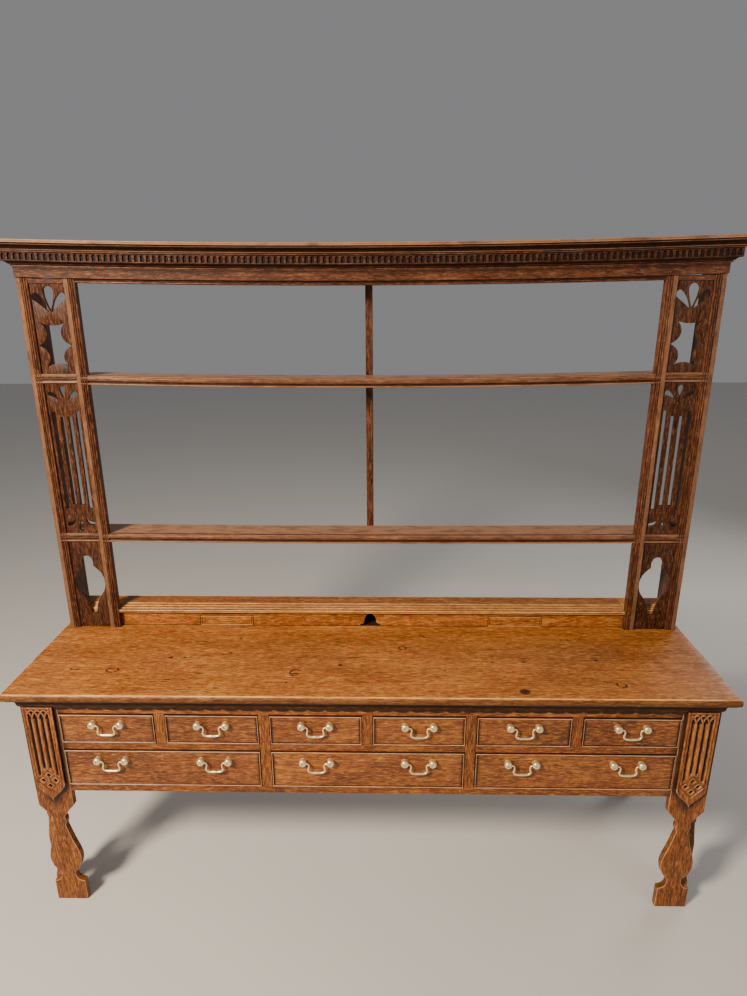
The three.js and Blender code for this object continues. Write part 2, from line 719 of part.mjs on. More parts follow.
function middleFret(half, foot, height) {
  const slotShares = [[0.25, 0.2, 0.787], [0.715, 0.172, 0.82]];
  const slotHalfShare = 0.115;
  const slopeShare = 0.03;
  const slots = slotShares.flatMap(([place, low, high]) => [-1, 1].map((side) => {
    const x0 = side * place * half - slotHalfShare * half;
    const x1 = side * place * half + slotHalfShare * half;
    const tilt = side * slopeShare * (place / slotShares[1][0] > 0.9 ? half : 0);
    const z0 = foot + low * height;
    const z1 = foot + high * height;
    return [[x0, z0 + tilt], [x1, z0 - tilt], [x1, z1 + tilt], [x0, z1 - tilt]];
  }));
  const sprayShares = { upper: 0.905, lower: 0.09, height: 0.075, radius: 0.17 };
  const sideShares = { end: [0.74, 0.36], tip: [0.27, -0.15], radius: 0.82, bow: -0.3 };
  const tall = sprayShares.height * height;
  const radius = sprayShares.radius * half;
  const upper = spray(half, foot + sprayShares.upper * height, tall, radius, sideShares, 1);
  const lower = spray(half, foot + sprayShares.lower * height, tall, radius, sideShares, -1);
  return [...slots, ...upper, ...lower];
}

function bottomFret(half, foot, height) {
  const footShares = [[0, 0.16], [0.2, 0.19], [0.26, 0.27], [0.6, 0.37]];
  const pearShares = [[0.92, 0.46], [0.96, 0.53], [0.85, 0.61], [0.5, 0.69], [0.33, 0.715]];
  const headShares = [[0.37, 0.76], [0.27, 0.81], [0, 0.83]];
  const right = [...footShares, ...pearShares, ...headShares].map(([x, z]) => [x * half, foot + z * height]);
  return [[...right, ...mirrored(right).slice(1, -1)]];
}

function makeFretBoard(side) {
  const half = pilasterWidth / 2 - reededWidth;
  const edge = half - fit;
  const head = friezeFoot - fit - sagAt(corniceSag, bayHalf, rackHalf);
  const middle = side * pilasterX;
  const fields = [
    bottomFret(half, rackFoot, lowerShelfTop - shelfEdge - rackFoot),
    middleFret(half, lowerShelfTop, upperShelfTop - shelfEdge - lowerShelfTop),
    topFret(half, upperShelfTop, head - friezeTongue - upperShelfTop),
  ];
  const front = rackFace + fretSetback;
  const board = block(middle - edge, middle + edge, front, front + fretThick, rackFoot, head);
  const holes = fields.flat().map((hole) => hole.map(([x, z]) => [middle + x, z]));
  return cutAway(board, holes.map((hole) => plate(hole, [], front - overrun, front + fretThick + overrun)));
}

function makeEndBoard(side) {
  const outer = side * rackHalf;
  const inner = side * innerHalf;
  return block(Math.min(outer, inner), Math.max(outer, inner), pilasterRear + fit, rackRear, rackFoot, friezeTop - fit);
}

// Shelf: a board between the end boards, with a moulded edge that fills the bay.
function makeShelf(top, sag) {
  const edge = sagging(shelfEdgeProfile(top, pilasterRear, shelfNose), bayHalf - fit, sag, rackHalf);
  const behind = pilasterRear + fit;
  const board = [[behind, top - shelfThick], [shelfRearY, top - shelfThick], [shelfRearY, top], [behind, top]];
  const narrow = board.map(([y, z]) => [y < shelfRearY ? pilasterRear - sunk : y, z]);
  const solids = [
    sagging(board, innerHalf - fit, sag, rackHalf),
    sagging(narrow, bayHalf - fit, sag, rackHalf),
    edge,
  ];
  return joined(solids);
}

function makeMullion() {
  const roofFoot = friezeTop - fit - roofThick - corniceSag - fit;
  const foot = lowerShelfTop - shelfThick - lowerShelfSag;
  return block(-mullionWidth / 2, mullionWidth / 2, shelfRearY + fit, rackRear, foot, roofFoot);
}

// Frieze: a board over the pilasters, with a lower edge between them that ends in a bead.
function makeFrieze() {
  const front = rackFace - friezeProud;
  const upper = [[front, friezeFoot], [pilasterRear, friezeFoot], [pilasterRear, friezeTop - fit], [front, friezeTop - fit]];
  const beadShares = [[0, 0], [0.35, 0], [0.35, 0.4], [0.7, 0.5], [0.7, 1.5]];
  const foot = friezeFoot - friezeTongue;
  const lower = beadShares.map(([deep, up]) => [rackFace + deep * friezeProud, foot + up * friezeTongue]);
  lower[0][0] = pilasterRear;
  lower.push([pilasterRear, lower[lower.length - 1][1]]);
  return joined([
    sagging(upper, rackHalf, corniceSag, rackHalf),
    sagging(lower, bayHalf - fit, corniceSag, rackHalf),
  ]);
}

// Cornice: ogee, a flat band for the dentils, a fillet, a larger ogee and a top fillet.
function makeCornice() {
  const band = dentilBandShare;
  const cornerShares = [
    [0.06, 0], [0.1, 0.06], [0.24, 0.12], [band, dentilFootShare],
    [band, 0.56], [0.5, 0.56], [0.5, 0.64], [0.56, 0.66], [0.62, 0.76], [0.82, 0.82], [0.9, 0.88], [1, 0.88], [1, 1],
  ];
  const face = cornerShares.map(([out, up]) => [out * corniceProud, friezeTop + up * corniceHeight]);
  const back = -endBoardThick + pilasterThick / 2;
  const profile = [[back, friezeTop], ...face, [back, friezeTop + corniceHeight]];
  return roundFrontAndEnds(profile, rackHalf, rackFace, rackRear, corniceSag);
}

// Dentil strip: a strip round the band, slotted at an even pitch on the front and the ends.
function makeDentils() {
  const inner = dentilBandShare * corniceProud + fit;
  const outer = inner + dentilThick;
  const foot = friezeTop + dentilFootShare * corniceHeight + fit;
  const profile = [[inner, foot], [outer, foot], [outer, foot + dentilHeight], [inner, foot + dentilHeight]];
  const strip = roundFrontAndEnds(profile, rackHalf, rackFace, rackRear, corniceSag);
  const slotFoot = foot + (dentilHeight - dentilSlotHeight) / 2;
  const slots = [];
  const reach = rackHalf + inner - dentilPitch;
  const count = Math.floor(reach / dentilPitch);
  for (let i = -count; i <= count; i += 1) {
    const x = i * dentilPitch;
    const z0 = slotFoot - sagAt(corniceSag, x, rackHalf);
    slots.push(block(x - dentilSlot / 2, x + dentilSlot / 2, rackFace - outer - overrun, rackFace - inner - dentilThick / 3,
      z0, z0 + dentilSlotHeight));
  }
  const endCount = Math.floor((rackDepth - dentilPitch) / dentilPitch);
  for (let i = 0; i < endCount; i += 1) {
    const y = rackFace + (i + 1 / 2) * dentilPitch;
    const [y0, y1] = [y - dentilSlot / 2, y + dentilSlot / 2];
    const [x0, x1] = [rackHalf + inner + dentilThick / 3, rackHalf + outer + overrun];
    slots.push(block(x0, x1, y0, y1, slotFoot, slotFoot + dentilSlotHeight));
    slots.push(block(-x1, -x0, y0, y1, slotFoot, slotFoot + dentilSlotHeight));
  }
  return strip.subtract(wasm.Manifold.compose(slots));
}

function makeRoof() {
  const front = pilasterRear + fit;
  const top = friezeTop - fit;
  const profile = [[front, top - roofThick], [rackRear, top - roofThick], [rackRear, top], [front, top]];
  return sagging(profile, innerHalf - fit, corniceSag, rackHalf);
}

// Gallery: a low box on the working top with two drawer openings and an arched hole between them.
function archOutline() {
  const archShares = [[1, 0], [0.96, 0.1], [0.72, 0.2], [1, 0.3]];
  const [footShare, , , waistShare] = archShares;
  const right = [
    [archFoot, rackFoot - overrun],
    [footShare[0] * archFoot, rackFoot],
    [archShares[1][0] * archFoot, rackFoot + archShares[1][1] * archHeight],
    [archShares[2][0] * archFoot, rackFoot + archShares[2][1] * archHeight],
    [waistShare[0] * archWaist, rackFoot + waistShare[1] * archHeight],
  ];
  const head = bend([archWaist, rackFoot + archHeight / 2], [archWaist, rackFoot + archHeight * waistShare[0]],
    [0, rackFoot + archHeight], 4);
  return [...right, ...head, ...mirrored([...right, ...head]).slice(1)];
}

function galleryDrawerOpening(side) {
  const middle = side * galleryDrawerPlace;
  const half = galleryDrawerWidth / 2 + galleryDrawerGap;
  return [middle - half, middle + half, rackFoot + galleryDrawerHeight + 2 * galleryDrawerGap];
}

function makeGallery() {
  const front = pilasterRear + fit;
  const rear = front + galleryDepth;
  const half = innerHalf - fit;
  const capFoot = rackFoot + galleryHeight;
  const capTop = capFoot + galleryCapRise;
  const frontBoard = block(-half, half, front, front + galleryWall, rackFoot, capFoot + sunk);
  const rearBoard = block(-half, half, rear - galleryWall, rear, rackFoot, capFoot + sunk);
  const slopeEnd = front + galleryCapSlope;
  const lip = galleryCapRise / 3;
  const cap = [[front, capFoot], [rear, capFoot], [rear, capTop], [slopeEnd, capTop], [front, capFoot + 2 * lip]];
  const nose = [[front - galleryNose, capFoot], [slopeEnd, capFoot], [slopeEnd, capTop], [front - galleryNose, capFoot + lip]];
  const solids = [
    frontBoard,
    rearBoard,
    straightAcross(cap, -half, half),
    straightAcross(nose, -bayHalf + fit, bayHalf - fit),
  ];
  for (const side of [-1, 1]) {
    const [x0, x1] = galleryDrawerOpening(side);
    solids.push(block(x0 - galleryWall, x0, front, rear, rackFoot, capFoot + sunk));
    solids.push(block(x1, x1 + galleryWall, front, rear, rackFoot, capFoot + sunk));
    const cheek = side * (archFoot + galleryWall / 2);
    solids.push(block(cheek - galleryWall / 2, cheek + galleryWall / 2, front, rear, rackFoot, capFoot + sunk));
  }
  const cutters = [-1, 1].map((side) => {
    const [x0, x1, top] = galleryDrawerOpening(side);
    return block(x0, x1, front - overrun, front + galleryWall + overrun, rackFoot - overrun, top);
  });
  cutters.push(plate(archOutline(), [], front - overrun, front + galleryWall + overrun));
  return cutAway(joined(solids), cutters);
}

function makeGalleryDrawer(side) {
  const middle = side * galleryDrawerPlace;
  const half = galleryDrawerWidth / 2;
  const front = pilasterRear + fit;
  const rear = front + galleryDepth - galleryWall - fit;
  const wall = galleryDrawerThick;
  const [z0, z1] = [rackFoot, rackFoot + galleryDrawerHeight];
  const body = block(middle - half, middle + half, front, rear, z0, z1);
  const inside = block(middle - half + wall, middle + half - wall, front + galleryWall, rear - wall, z0 + wall, z1 + overrun);
  return cutAway(body, [inside]);
}

function makeRack() {
  for (const [side, word] of [[-1, 'left'], [1, 'right']]) {
    addDarkOak(`pilaster_frame_${word}`, makePilasterFrame(side));
    addDarkOak(`fret_board_${word}`, makeFretBoard(side));
    addDarkOak(`end_board_${word}`, makeEndBoard(side));
    addDarkOak(`gallery_drawer_${word}`, makeGalleryDrawer(side));
  }
  addDarkOak('lower_shelf', makeShelf(lowerShelfTop, lowerShelfSag));
  addDarkOak('upper_shelf', makeShelf(upperShelfTop, upperShelfSag));
  addDarkOak('back_mullion', makeMullion());
  addDarkOak('frieze', makeFrieze());
  addDarkOak('cornice', makeCornice());
  addDarkOak('dentil_strip', makeDentils());
  addDarkOak('roof_board', makeRoof());
  addDarkOak('gallery', makeGallery());
}

addPiece('top_board', makeTopBoard(), topColour, 0.45, 0);
makeBaseFrame();
addOak('cove_moulding', makeCove());
addOak('scallop_strip', makeScallops());
addInner('back_panel', makeBackPanel());
addInner('upper_dust_board', makeDustBoard(middleRailTop, [-outerMuntinPlace, -fullMuntinPlace, 0, fullMuntinPlace, outerMuntinPlace]));
addInner('lower_dust_board', makeDustBoard(bottomRailTop, [-fullMuntinPlace, fullMuntinPlace]));
makeDrawers();
makeRack();

export default dresser;
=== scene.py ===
# A welsh dresser: a waxed oak base on silhouette legs, nine cock-beaded drawers with swan-neck handles,
# and an open rack between pierced pilasters under a dentil cornice. Metres, +Z up, front towards -Y.
import itertools
import json
import math
import bpy
import numpy as np
from mathutils import Matrix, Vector
from mathutils.geometry import delaunay_2d_cdt


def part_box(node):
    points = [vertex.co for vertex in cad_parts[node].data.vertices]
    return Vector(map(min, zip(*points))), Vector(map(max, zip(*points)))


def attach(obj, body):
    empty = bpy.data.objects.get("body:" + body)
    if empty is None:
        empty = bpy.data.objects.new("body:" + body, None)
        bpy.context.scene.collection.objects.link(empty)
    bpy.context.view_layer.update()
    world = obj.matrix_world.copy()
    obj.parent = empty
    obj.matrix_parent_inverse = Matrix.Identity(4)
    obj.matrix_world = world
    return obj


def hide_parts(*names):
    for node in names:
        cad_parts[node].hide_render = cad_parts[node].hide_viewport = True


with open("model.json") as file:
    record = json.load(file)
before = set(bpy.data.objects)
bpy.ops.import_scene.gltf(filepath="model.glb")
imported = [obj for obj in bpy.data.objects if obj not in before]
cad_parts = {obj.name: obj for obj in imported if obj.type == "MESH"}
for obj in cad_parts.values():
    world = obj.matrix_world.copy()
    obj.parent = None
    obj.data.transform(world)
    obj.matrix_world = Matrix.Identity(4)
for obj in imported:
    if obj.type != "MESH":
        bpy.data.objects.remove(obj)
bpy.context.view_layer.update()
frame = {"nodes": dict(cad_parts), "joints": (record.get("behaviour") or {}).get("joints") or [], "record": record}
print("frame loaded:", len(frame["nodes"]), "nodes")


# Camera, at the photograph's place and angle

viewpoint = {
    "place": (0.0568, -1.9538, 1.9848), "yaw": -0.0203, "pitch": 0.3006, "roll": -0.0045,
    "focalPixels": 643.15, "framePixels": (747, 996), "sensor": 36.0,
}


def putInScene(name, data, place, right, up, back):
    # An object whose own X, Y and Z point right, up and back; a camera and a lamp look the other way.
    thing = bpy.data.objects.new(name, data)
    axes = np.eye(4)
    axes[:3, 0], axes[:3, 1], axes[:3, 2], axes[:3, 3] = right, up, back, place
    thing.matrix_world = Matrix(axes.tolist())
    bpy.context.scene.collection.objects.link(thing)
    return thing


def makeCamera(v):
    # Three axes from yaw, pitch and roll; the lens follows from the focal length in pixels of the long side.
    cosYaw, sinYaw = math.cos(v["yaw"]), math.sin(v["yaw"])
    cosPitch, sinPitch = math.cos(v["pitch"]), math.sin(v["pitch"])
    forward = np.array([sinYaw * cosPitch, cosYaw * cosPitch, -sinPitch])
    level = np.array([cosYaw, -sinYaw, 0.0])
    upright = np.cross(level, forward)
    right = math.cos(v["roll"]) * level + math.sin(v["roll"]) * upright
    up = math.cos(v["roll"]) * upright - math.sin(v["roll"]) * level
    data = bpy.data.cameras.new("camera")
    data.sensor_fit = "AUTO"
    data.sensor_width = v["sensor"]
    data.lens = v["focalPixels"] * v["sensor"] / max(v["framePixels"])
    bpy.context.scene.camera = putInScene("camera", data, v["place"], right, up, -forward)


makeCamera(viewpoint)


# Finishes

class Wire:
    # One output of a node tree; sums, differences, products and quotients on it add Math nodes.

    # Without a socket it is only a place to start nodes from.
    def __init__(self, tree, socket=None):
        self.tree = tree
        self.socket = socket

    # Adds a node: first its settings, then the values or links of its sockets.
    def node(self, kind, settings=None, inputs=None, output=0):
        made = self.tree.nodes.new(kind)
        for key, value in (settings or {}).items():
            if key == "stops":
                ramp = made.color_ramp.elements
                ramp[0].position, ramp[0].color = value[0][0], (*value[0][1], 1)
                ramp[1].position, ramp[1].color = value[-1][0], (*value[-1][1], 1)
                for place, colour in value[1:-1]:
                    ramp.new(place).color = (*colour, 1)
            else:
                setattr(made, key, value)
        for key, value in (inputs or {}).items():
            if isinstance(value, Wire):
                self.tree.links.new(value.socket, made.inputs[key])
            else:
                made.inputs[key].default_value = value
        return Wire(self.tree, made.outputs[output] if len(made.outputs) else None)

    # One Math node on the values, in their order.
    def math(self, operation, *values):
        return self.node("ShaderNodeMath", {"operation": operation}, dict(enumerate(values)))

    def __add__(self, other):
        return self.math("ADD", self, other)

    def __sub__(self, other):
        return self.math("SUBTRACT", self, other)

    def __rsub__(self, other):
        return self.math("SUBTRACT", other, self)

    def __mul__(self, other):
        return self.math("MULTIPLY", self, other)

    def __truediv__(self, other):
        return self.math("DIVIDE", self, other)

    __radd__ = __add__
    __rmul__ = __mul__

    # 0 below low and 1 above high, with a soft step between.
    def between(self, low, high):
        inputs = {"Value": self, "From Min": low, "From Max": high}
        return self.node("ShaderNodeMapRange", {"interpolation_type": "SMOOTHSTEP"}, inputs)

    # Straight slopes up and down between 0 and 1, each one unit long.
    def bands(self):
        return self.math("PINGPONG", self, 1.0)

    # The vector times three amounts.
    def stretched(self, amounts):
        return self.node("ShaderNodeVectorMath", {"operation": "MULTIPLY"}, {0: self, 1: amounts})

    # Noise around a half, with about as many lumps in a metre along each axis as the amounts say.
    def noise(self, amounts, detail=2.0, roughness=0.5, distortion=0.0):
        inputs = {"Vector": self.stretched(amounts), "Scale": 1.0, "Detail": detail,
                  "Roughness": roughness, "Distortion": distortion}
        return self.node("ShaderNodeTexNoise", {}, inputs)

    # Colour a, with a share of b laid over it.
    def mix(self, share, a, b, way="MIX"):
        settings = {"data_type": "RGBA", "blend_type": way}
        return self.node("ShaderNodeMix", settings, {0: share, 6: a, 7: b}, output=2)


def newMaterial(name):
    # An empty material, and a wire to start its nodes from.
    material = bpy.data.materials.new(name)
    material.use_nodes = True
    material.node_tree.nodes.clear()
    return material, Wire(material.node_tree)


def finishMaterial(start, shaderInputs):
    # One shader with these inputs, linked to the output.
    shader = start.node("ShaderNodeBsdfPrincipled", {}, shaderInputs)
    start.node("ShaderNodeOutputMaterial", {}, {"Surface": shader})


def rgba(colour):
    # The colour with full cover.
    return (*colour, 1.0)


shieldFrom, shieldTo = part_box("gothic_shield_right")
# Painted shadow that the proud shield casts on the stile around and below it.
shieldShadow = {
    "middle": (shieldFrom[0] + shieldTo[0]) / 2, "half": (shieldTo[0] - shieldFrom[0]) / 2,
    "foot": shieldFrom[2], "face": shieldTo[1], "point": 0.069, "reach": 0.046, "start": 0.008,
    "belowShare": 0.9, "lumps": (120.0, 120.0, 60.0), "ragged": 0.012, "faceIn": (0.0012, 0.0006),
    "faceOut": (0.001, 0.004), "share": 0.8,
}
# Fields of the wood: scales along and across the grain, detail, roughness and distortion.
woodFields = {
    "streaks": ((4.0, 60.0, 60.0), 3.0, 0.6, 0.4), "fibres": ((16.0, 260.0, 260.0), 3.0, 0.65),
    "mottle": ((2.6, 6.0, 6.0), 3.0, 0.6, 0.6), "dashes": ((30.0, 150.0, 150.0), 2.0, 0.6),
    "pores": ((60.0, 900.0, 900.0), 1.0), "strokes": ((42.0, 330.0, 330.0), 2.0, 0.6),
    "glints": ((40.0, 300.0, 300.0), 2.0, 0.6), "blush": ((5.0, 24.0, 24.0), 2.0, 0.6, 0.5),
    "spots": ((34.0, 60.0, 60.0), 2.0, 0.6, 0.5), "worn": ((14.0, 30.0, 30.0), 2.0),
}
# Where a field steps from nothing to all.
woodSteps = {
    "pores": (0.58, 0.70), "strokes": (0.52, 0.58), "glints": (0.53, 0.60), "blush": (0.44, 0.62),
    "spots": (0.69, 0.75), "worn": (0.34, 0.54),
}
baseOak = {
    "stops": [(0.0, (0.022, 0.005, 0.001)), (0.3, (0.112, 0.029, 0.006)), (0.55, (0.245, 0.073, 0.014)),
              (0.8, (0.41, 0.148, 0.025)), (1.0, (0.60, 0.265, 0.052))],
    "growth": ((1.5, 11.0, 11.0), 1.5, 0.45), "rings": 34.0, "poreRings": (0.25, 0.8), "ringTone": 0.2,
    "streakTone": 0.62, "dashTone": 0.85, "fibreTone": 0.7, "mottleTone": 0.65, "tintTone": 0.12,
    "middle": 0.49, "strokes": 0.7, "glints": 0.36, "pores": 0.5, "spots": 0.6, "blush": 0.4,
    "blushColour": (1.0, 0.66, 0.8), "marks": (), "markShare": 0.88, "ringHeight": 0.25, "fibreHeight": 0.5,
    "poreDeep": 0.9, "strokeDeep": 0.25, "markDeep": 0.8, "mottleRough": 0.22, "strokeRough": 0.06,
    "poreRough": 0.2, "quirkRough": 0.3, "rubbedSmooth": 0.14,
    "paintedShading": shieldShadow, "rubbedAndHighlight": (0.72, 0.38, 0.19), "rubbedAndHighlightShare": 0.65, "rubbedAndHighlightSteps": (0.08, 0.75),
    # The dark colour serves for grime, spots and marks, and for painted shade in quirks, hollows and gaps.
    "grimeAndShade": (0.009, 0.003, 0.0015), "quirkShare": 0.9, "quirkSteps": (0.05, 0.6), "rough": 0.42,
    "specular": 0.22, "coat": 0.08, "coatRough": 0.22, "bump": 0.35, "bumpDepth": 0.0006,
}
drawerOak = {
    **baseOak, "paintedShading": None, "middle": 0.55, "mottleTone": 0.8, "tintTone": 0.2, "glints": 0.42, "blush": 0.5,
    "specular": 0.3, "coat": 0.14, "rubbedAndHighlight": (0.78, 0.49, 0.31), "rubbedAndHighlightShare": 0.85,
}
topOak = {
    **baseOak, "paintedShading": None,
    "stops": [(0.0, (0.050, 0.011, 0.002)), (0.3, (0.200, 0.055, 0.007)), (0.55, (0.355, 0.116, 0.021)),
              (0.8, (0.55, 0.222, 0.046)), (1.0, (0.74, 0.39, 0.10))],
    "middle": 0.50, "tintTone": 0.06, "blush": 0.3, "rubbedAndHighlight": (0.96, 0.57, 0.21), "rubbedAndHighlightShare": 0.8,
    "rough": 0.38, "specular": 0.24, "coat": 0.06,
    "marks": [
        ("spot", -0.454, 0.063, 0.006, 0.004), ("spot", -0.663, -0.067, 0.009, 0.007),
        ("spot", -0.616, -0.065, 0.006, 0.004), ("spot", -0.092, -0.108, 0.009, 0.006),
        ("spot", -0.255, -0.209, 0.005, 0.004), ("spot", -0.469, -0.037, 0.007, 0.005),
        ("spot", -0.210, 0.008, 0.005, 0.003), ("spot", -0.240, -0.078, 0.005, 0.003),
        ("spot", -0.965, -0.142, 0.007, 0.005), ("spot", -0.943, -0.145, 0.010, 0.003),
        ("spot", 0.509, -0.083, 0.007, 0.005), ("spot", 0.751, -0.069, 0.008, 0.005),
        ("spot", 0.409, -0.084, 0.006, 0.004), ("spot", 0.668, 0.061, 0.006, 0.004),
        ("spot", 0.692, 0.062, 0.005, 0.004), ("spot", 0.481, -0.250, 0.018, 0.014),
        ("spot", -0.052, -0.062, 0.022, 0.003), ("spot", -0.542, -0.160, 0.016, 0.003),
        ("spot", -0.111, 0.041, 0.013, 0.003), ("spot", -0.633, -0.198, 0.010, 0.003),
        ("spot", -0.466, -0.242, 0.012, 0.003), ("spot", 0.750, -0.195, 0.019, 0.003),
        ("ring", -0.828, -0.146, 0.019, 0.012), ("ring", -0.235, -0.153, 0.015, 0.016),
        ("spot", -0.235, -0.160, 0.012, 0.004), ("ring", 0.114, 0.002, 0.012, 0.012),
        ("ring", 0.787, -0.211, 0.014, 0.014), ("ring", 0.181, 0.078, 0.012, 0.010),
    ],
}
rackOak = {
    **baseOak, "paintedShading": None,
    "stops": [(0.0, (0.014, 0.0035, 0.0015)), (0.3, (0.054, 0.016, 0.005)), (0.55, (0.112, 0.036, 0.013)),
              (0.8, (0.215, 0.085, 0.036)), (1.0, (0.36, 0.18, 0.09))],
    "middle": 0.40, "mottleTone": 0.5, "strokes": 0.5, "glints": 0.25, "rubbedAndHighlight": (0.46, 0.24, 0.13),
    "rubbedAndHighlightShare": 0.55, "specular": 0.16, "coat": 0.05,
}
innerOak = {
    **baseOak, "paintedShading": None,
    "stops": [(0.0, (0.070, 0.035, 0.015)), (0.3, (0.150, 0.080, 0.034)), (0.55, (0.235, 0.132, 0.058)),
              (0.8, (0.32, 0.19, 0.09)), (1.0, (0.42, 0.27, 0.14))],
    "rough": 0.72, "coat": 0.0, "strokes": 0.3, "glints": 0.15, "blush": 0.1, "rubbedAndHighlightShare": 0.1,
}


def makeOak(name, look):
    # Tone of the wood: the middle tone plus each field's distance from a half times its share; the rings are cut
    # from a field that runs along the board. Redder patches, glints, short strokes, pores, spots and marks lie
    # over it; then the painted shadow around the shields, rubbed ridges that are also painted highlights, and
    # grime that is also painted shade in the hollows.
    material, start = newMaterial(name)
    grain = start.node("ShaderNodeAttribute", {"attribute_name": "grain"}, output="Vector")
    # The wear attribute: above 0 the wood is rubbed pale, which on beads, ribs, fillets and lit edges is a painted
    # highlight as well; below 0 it takes the dark colour, as real grime and dark joints and as painted shade in
    # quirks, hollows, gaps and under overhangs.
    wear = start.node("ShaderNodeAttribute", {"attribute_name": "wear"}, output="Fac")
    tint = start.node("ShaderNodeAttribute", {"attribute_name": "tint"}, output="Fac")
    rings = (grain.noise(*look["growth"]) * look["rings"]).bands()
    field = {key: grain.noise(*values) for key, values in woodFields.items()}
    for key, steps in woodSteps.items():
        field[key] = field[key].between(*steps)
    mottle, fibres, strokes = field["mottle"], field["fibres"], field["strokes"]
    pores = field["pores"] * rings.between(*look["poreRings"])
    tone = (look["middle"] + (rings - 0.5) * look["ringTone"] + (field["streaks"] - 0.5) * look["streakTone"]
            + (field["dashes"] - 0.5) * look["dashTone"] + (fibres - 0.5) * look["fibreTone"]
            + (mottle - 0.5) * look["mottleTone"] + (tint - 0.5) * look["tintTone"])
    grimeAndShade, stops = rgba(look["grimeAndShade"]), [rgba(stop[1]) for stop in look["stops"]]
    colour = start.node("ShaderNodeValToRGB", {"stops": look["stops"]}, {"Fac": tone})
    redder = start.mix(1.0, colour, rgba(look["blushColour"]), "MULTIPLY")
    colour = start.mix(field["blush"] * look["blush"], colour, redder)
    colour = start.mix(field["glints"] * look["glints"], colour, stops[-1])
    colour = start.mix(strokes * look["strokes"], colour, stops[1])
    colour = start.mix(pores * look["pores"], colour, stops[0])
    colour = start.mix(field["spots"] * look["spots"], colour, grimeAndShade)
    height = rings * look["ringHeight"] + fibres * look["fibreHeight"]
    height = height - pores * look["poreDeep"] - strokes * look["strokeDeep"]
    if look["marks"]:
        marks = marksOf(start, look["marks"])
        colour = start.mix(marks * look["markShare"], colour, grimeAndShade)
        height = height - marks * look["markDeep"]
    # The painted shadow around the shields, on the base oak only.
    if look["paintedShading"]:
        colour = start.mix(shieldShadowOf(start, look["paintedShading"]), colour, grimeAndShade)
    # Rubbed ridges, and the ridges, beads and edges painted with a highlight, take the pale rubbed colour; quirks,
    # hollows and gaps take the dark colour, as grime and as painted shade.
    rubbedAndHighlight = wear.between(*look["rubbedAndHighlightSteps"]) * look["rubbedAndHighlightShare"] * (field["worn"] * 0.5 + 0.5)
    quirk = (0.0 - wear).between(*look["quirkSteps"]) * look["quirkShare"]
    colour = start.mix(rubbedAndHighlight, colour, rgba(look["rubbedAndHighlight"]))
    colour = start.mix(quirk, colour, grimeAndShade)
    rough = look["rough"] + (mottle - 0.5) * look["mottleRough"] + strokes * look["strokeRough"]
    rough = rough + pores * look["poreRough"] + quirk * look["quirkRough"] - rubbedAndHighlight * look["rubbedSmooth"]
    bump = start.node("ShaderNodeBump", {}, {"Strength": look["bump"], "Distance": look["bumpDepth"],
                                             "Height": height})
    finishMaterial(start, {"Base Color": colour, "Roughness": rough, "Normal": bump,
                           "Specular IOR Level": look["specular"],
                           "Coat Weight": look["coat"], "Coat Roughness": look["coatRough"]})
    return material


def shieldShadowOf(start, s):
    # Painted shadow on the stiles around and below the proud shield, fading with the distance outward from it: how
    # far a place lies beyond the shield's half width at its height, plus a share of how far it lies below the
    # point.
    place = start.node("ShaderNodeTexCoord", {}, output="Object")
    x, y, z = (start.node("ShaderNodeSeparateXYZ", {}, {0: place}, output=k) for k in range(3))
    sideways = start.math("ABSOLUTE", start.math("ABSOLUTE", x) - s["middle"])
    width = ((z - s["foot"]) / s["point"]).between(0.0, 1.0) * s["half"]
    below = start.math("MAXIMUM", s["foot"] - z, 0.0)
    ragged = (place.noise(s["lumps"], 2.0) - 0.5) * s["ragged"]
    away = (sideways - width) + below * s["belowShare"] + ragged
    onFace = y.between(s["face"] - s["faceIn"][0], s["face"] - s["faceIn"][1])
    onFace = onFace * (1 - y.between(s["face"] + s["faceOut"][0], s["face"] + s["faceOut"][1]))
    return (1 - away.between(s["start"], s["reach"])) * onFace * s["share"]


markLook = {
    "ragged": (150.0, 150.0, 150.0), "raggedShare": 0.9, "broken": (45.0, 45.0, 45.0),
    "brokenSteps": (0.38, 0.5), "ringSteps": (0.08, 0.3), "spotSteps": (0.7, 1.15),
}


def marksOf(start, marks):
    # Knots, dents and ring stains at given places on the top: for each, the distance from its middle in
    # units of its two half sizes, made ragged; a ring is where that is near 1.
    place = start.node("ShaderNodeTexCoord", {}, output="Object")
    ragged = (place.noise(markLook["ragged"], 2.0) - 0.5) * markLook["raggedShare"]
    broken = place.noise(markLook["broken"], 1.0).between(*markLook["brokenSteps"])
    found = None
    for kind, x, y, halfLength, halfWidth in marks:
        apart = start.node("ShaderNodeVectorMath", {"operation": "SUBTRACT"}, {0: place, 1: (x, y, 0)})
        apart = apart.stretched((1 / halfLength, 1 / halfWidth, 0))
        away = start.node("ShaderNodeVectorMath", {"operation": "LENGTH"}, {0: apart}, output="Value")
        away = away + ragged
        if kind == "ring":
            mark = (1 - start.math("ABSOLUTE", away - 1.0).between(*markLook["ringSteps"])) * broken
        else:
            mark = 1 - away.between(*markLook["spotSteps"])
        found = mark if found is None else found.math("MAXIMUM", found, mark)
    return found


brassLook = {
    "bright": (1.0, 0.83, 0.50), "worn": (0.88, 0.68, 0.36), "dirt": (0.12, 0.085, 0.05), "metallic": 0.8,
    "patches": ((120.0, 120.0, 120.0), 3.0, 0.6), "scratches": ((700.0, 900.0, 2400.0), 2.0, 0.6),
    "patchSteps": (0.42, 0.68), "patchShare": 0.4, "quirkSteps": (0.05, 0.7), "quirkShare": 0.8,
    "rough": 0.33, "patchRough": 0.25, "scratchRough": 0.12, "quirkRough": 0.35, "scratchHeight": 0.4,
    "bump": 0.2, "bumpDepth": 0.0004,
}


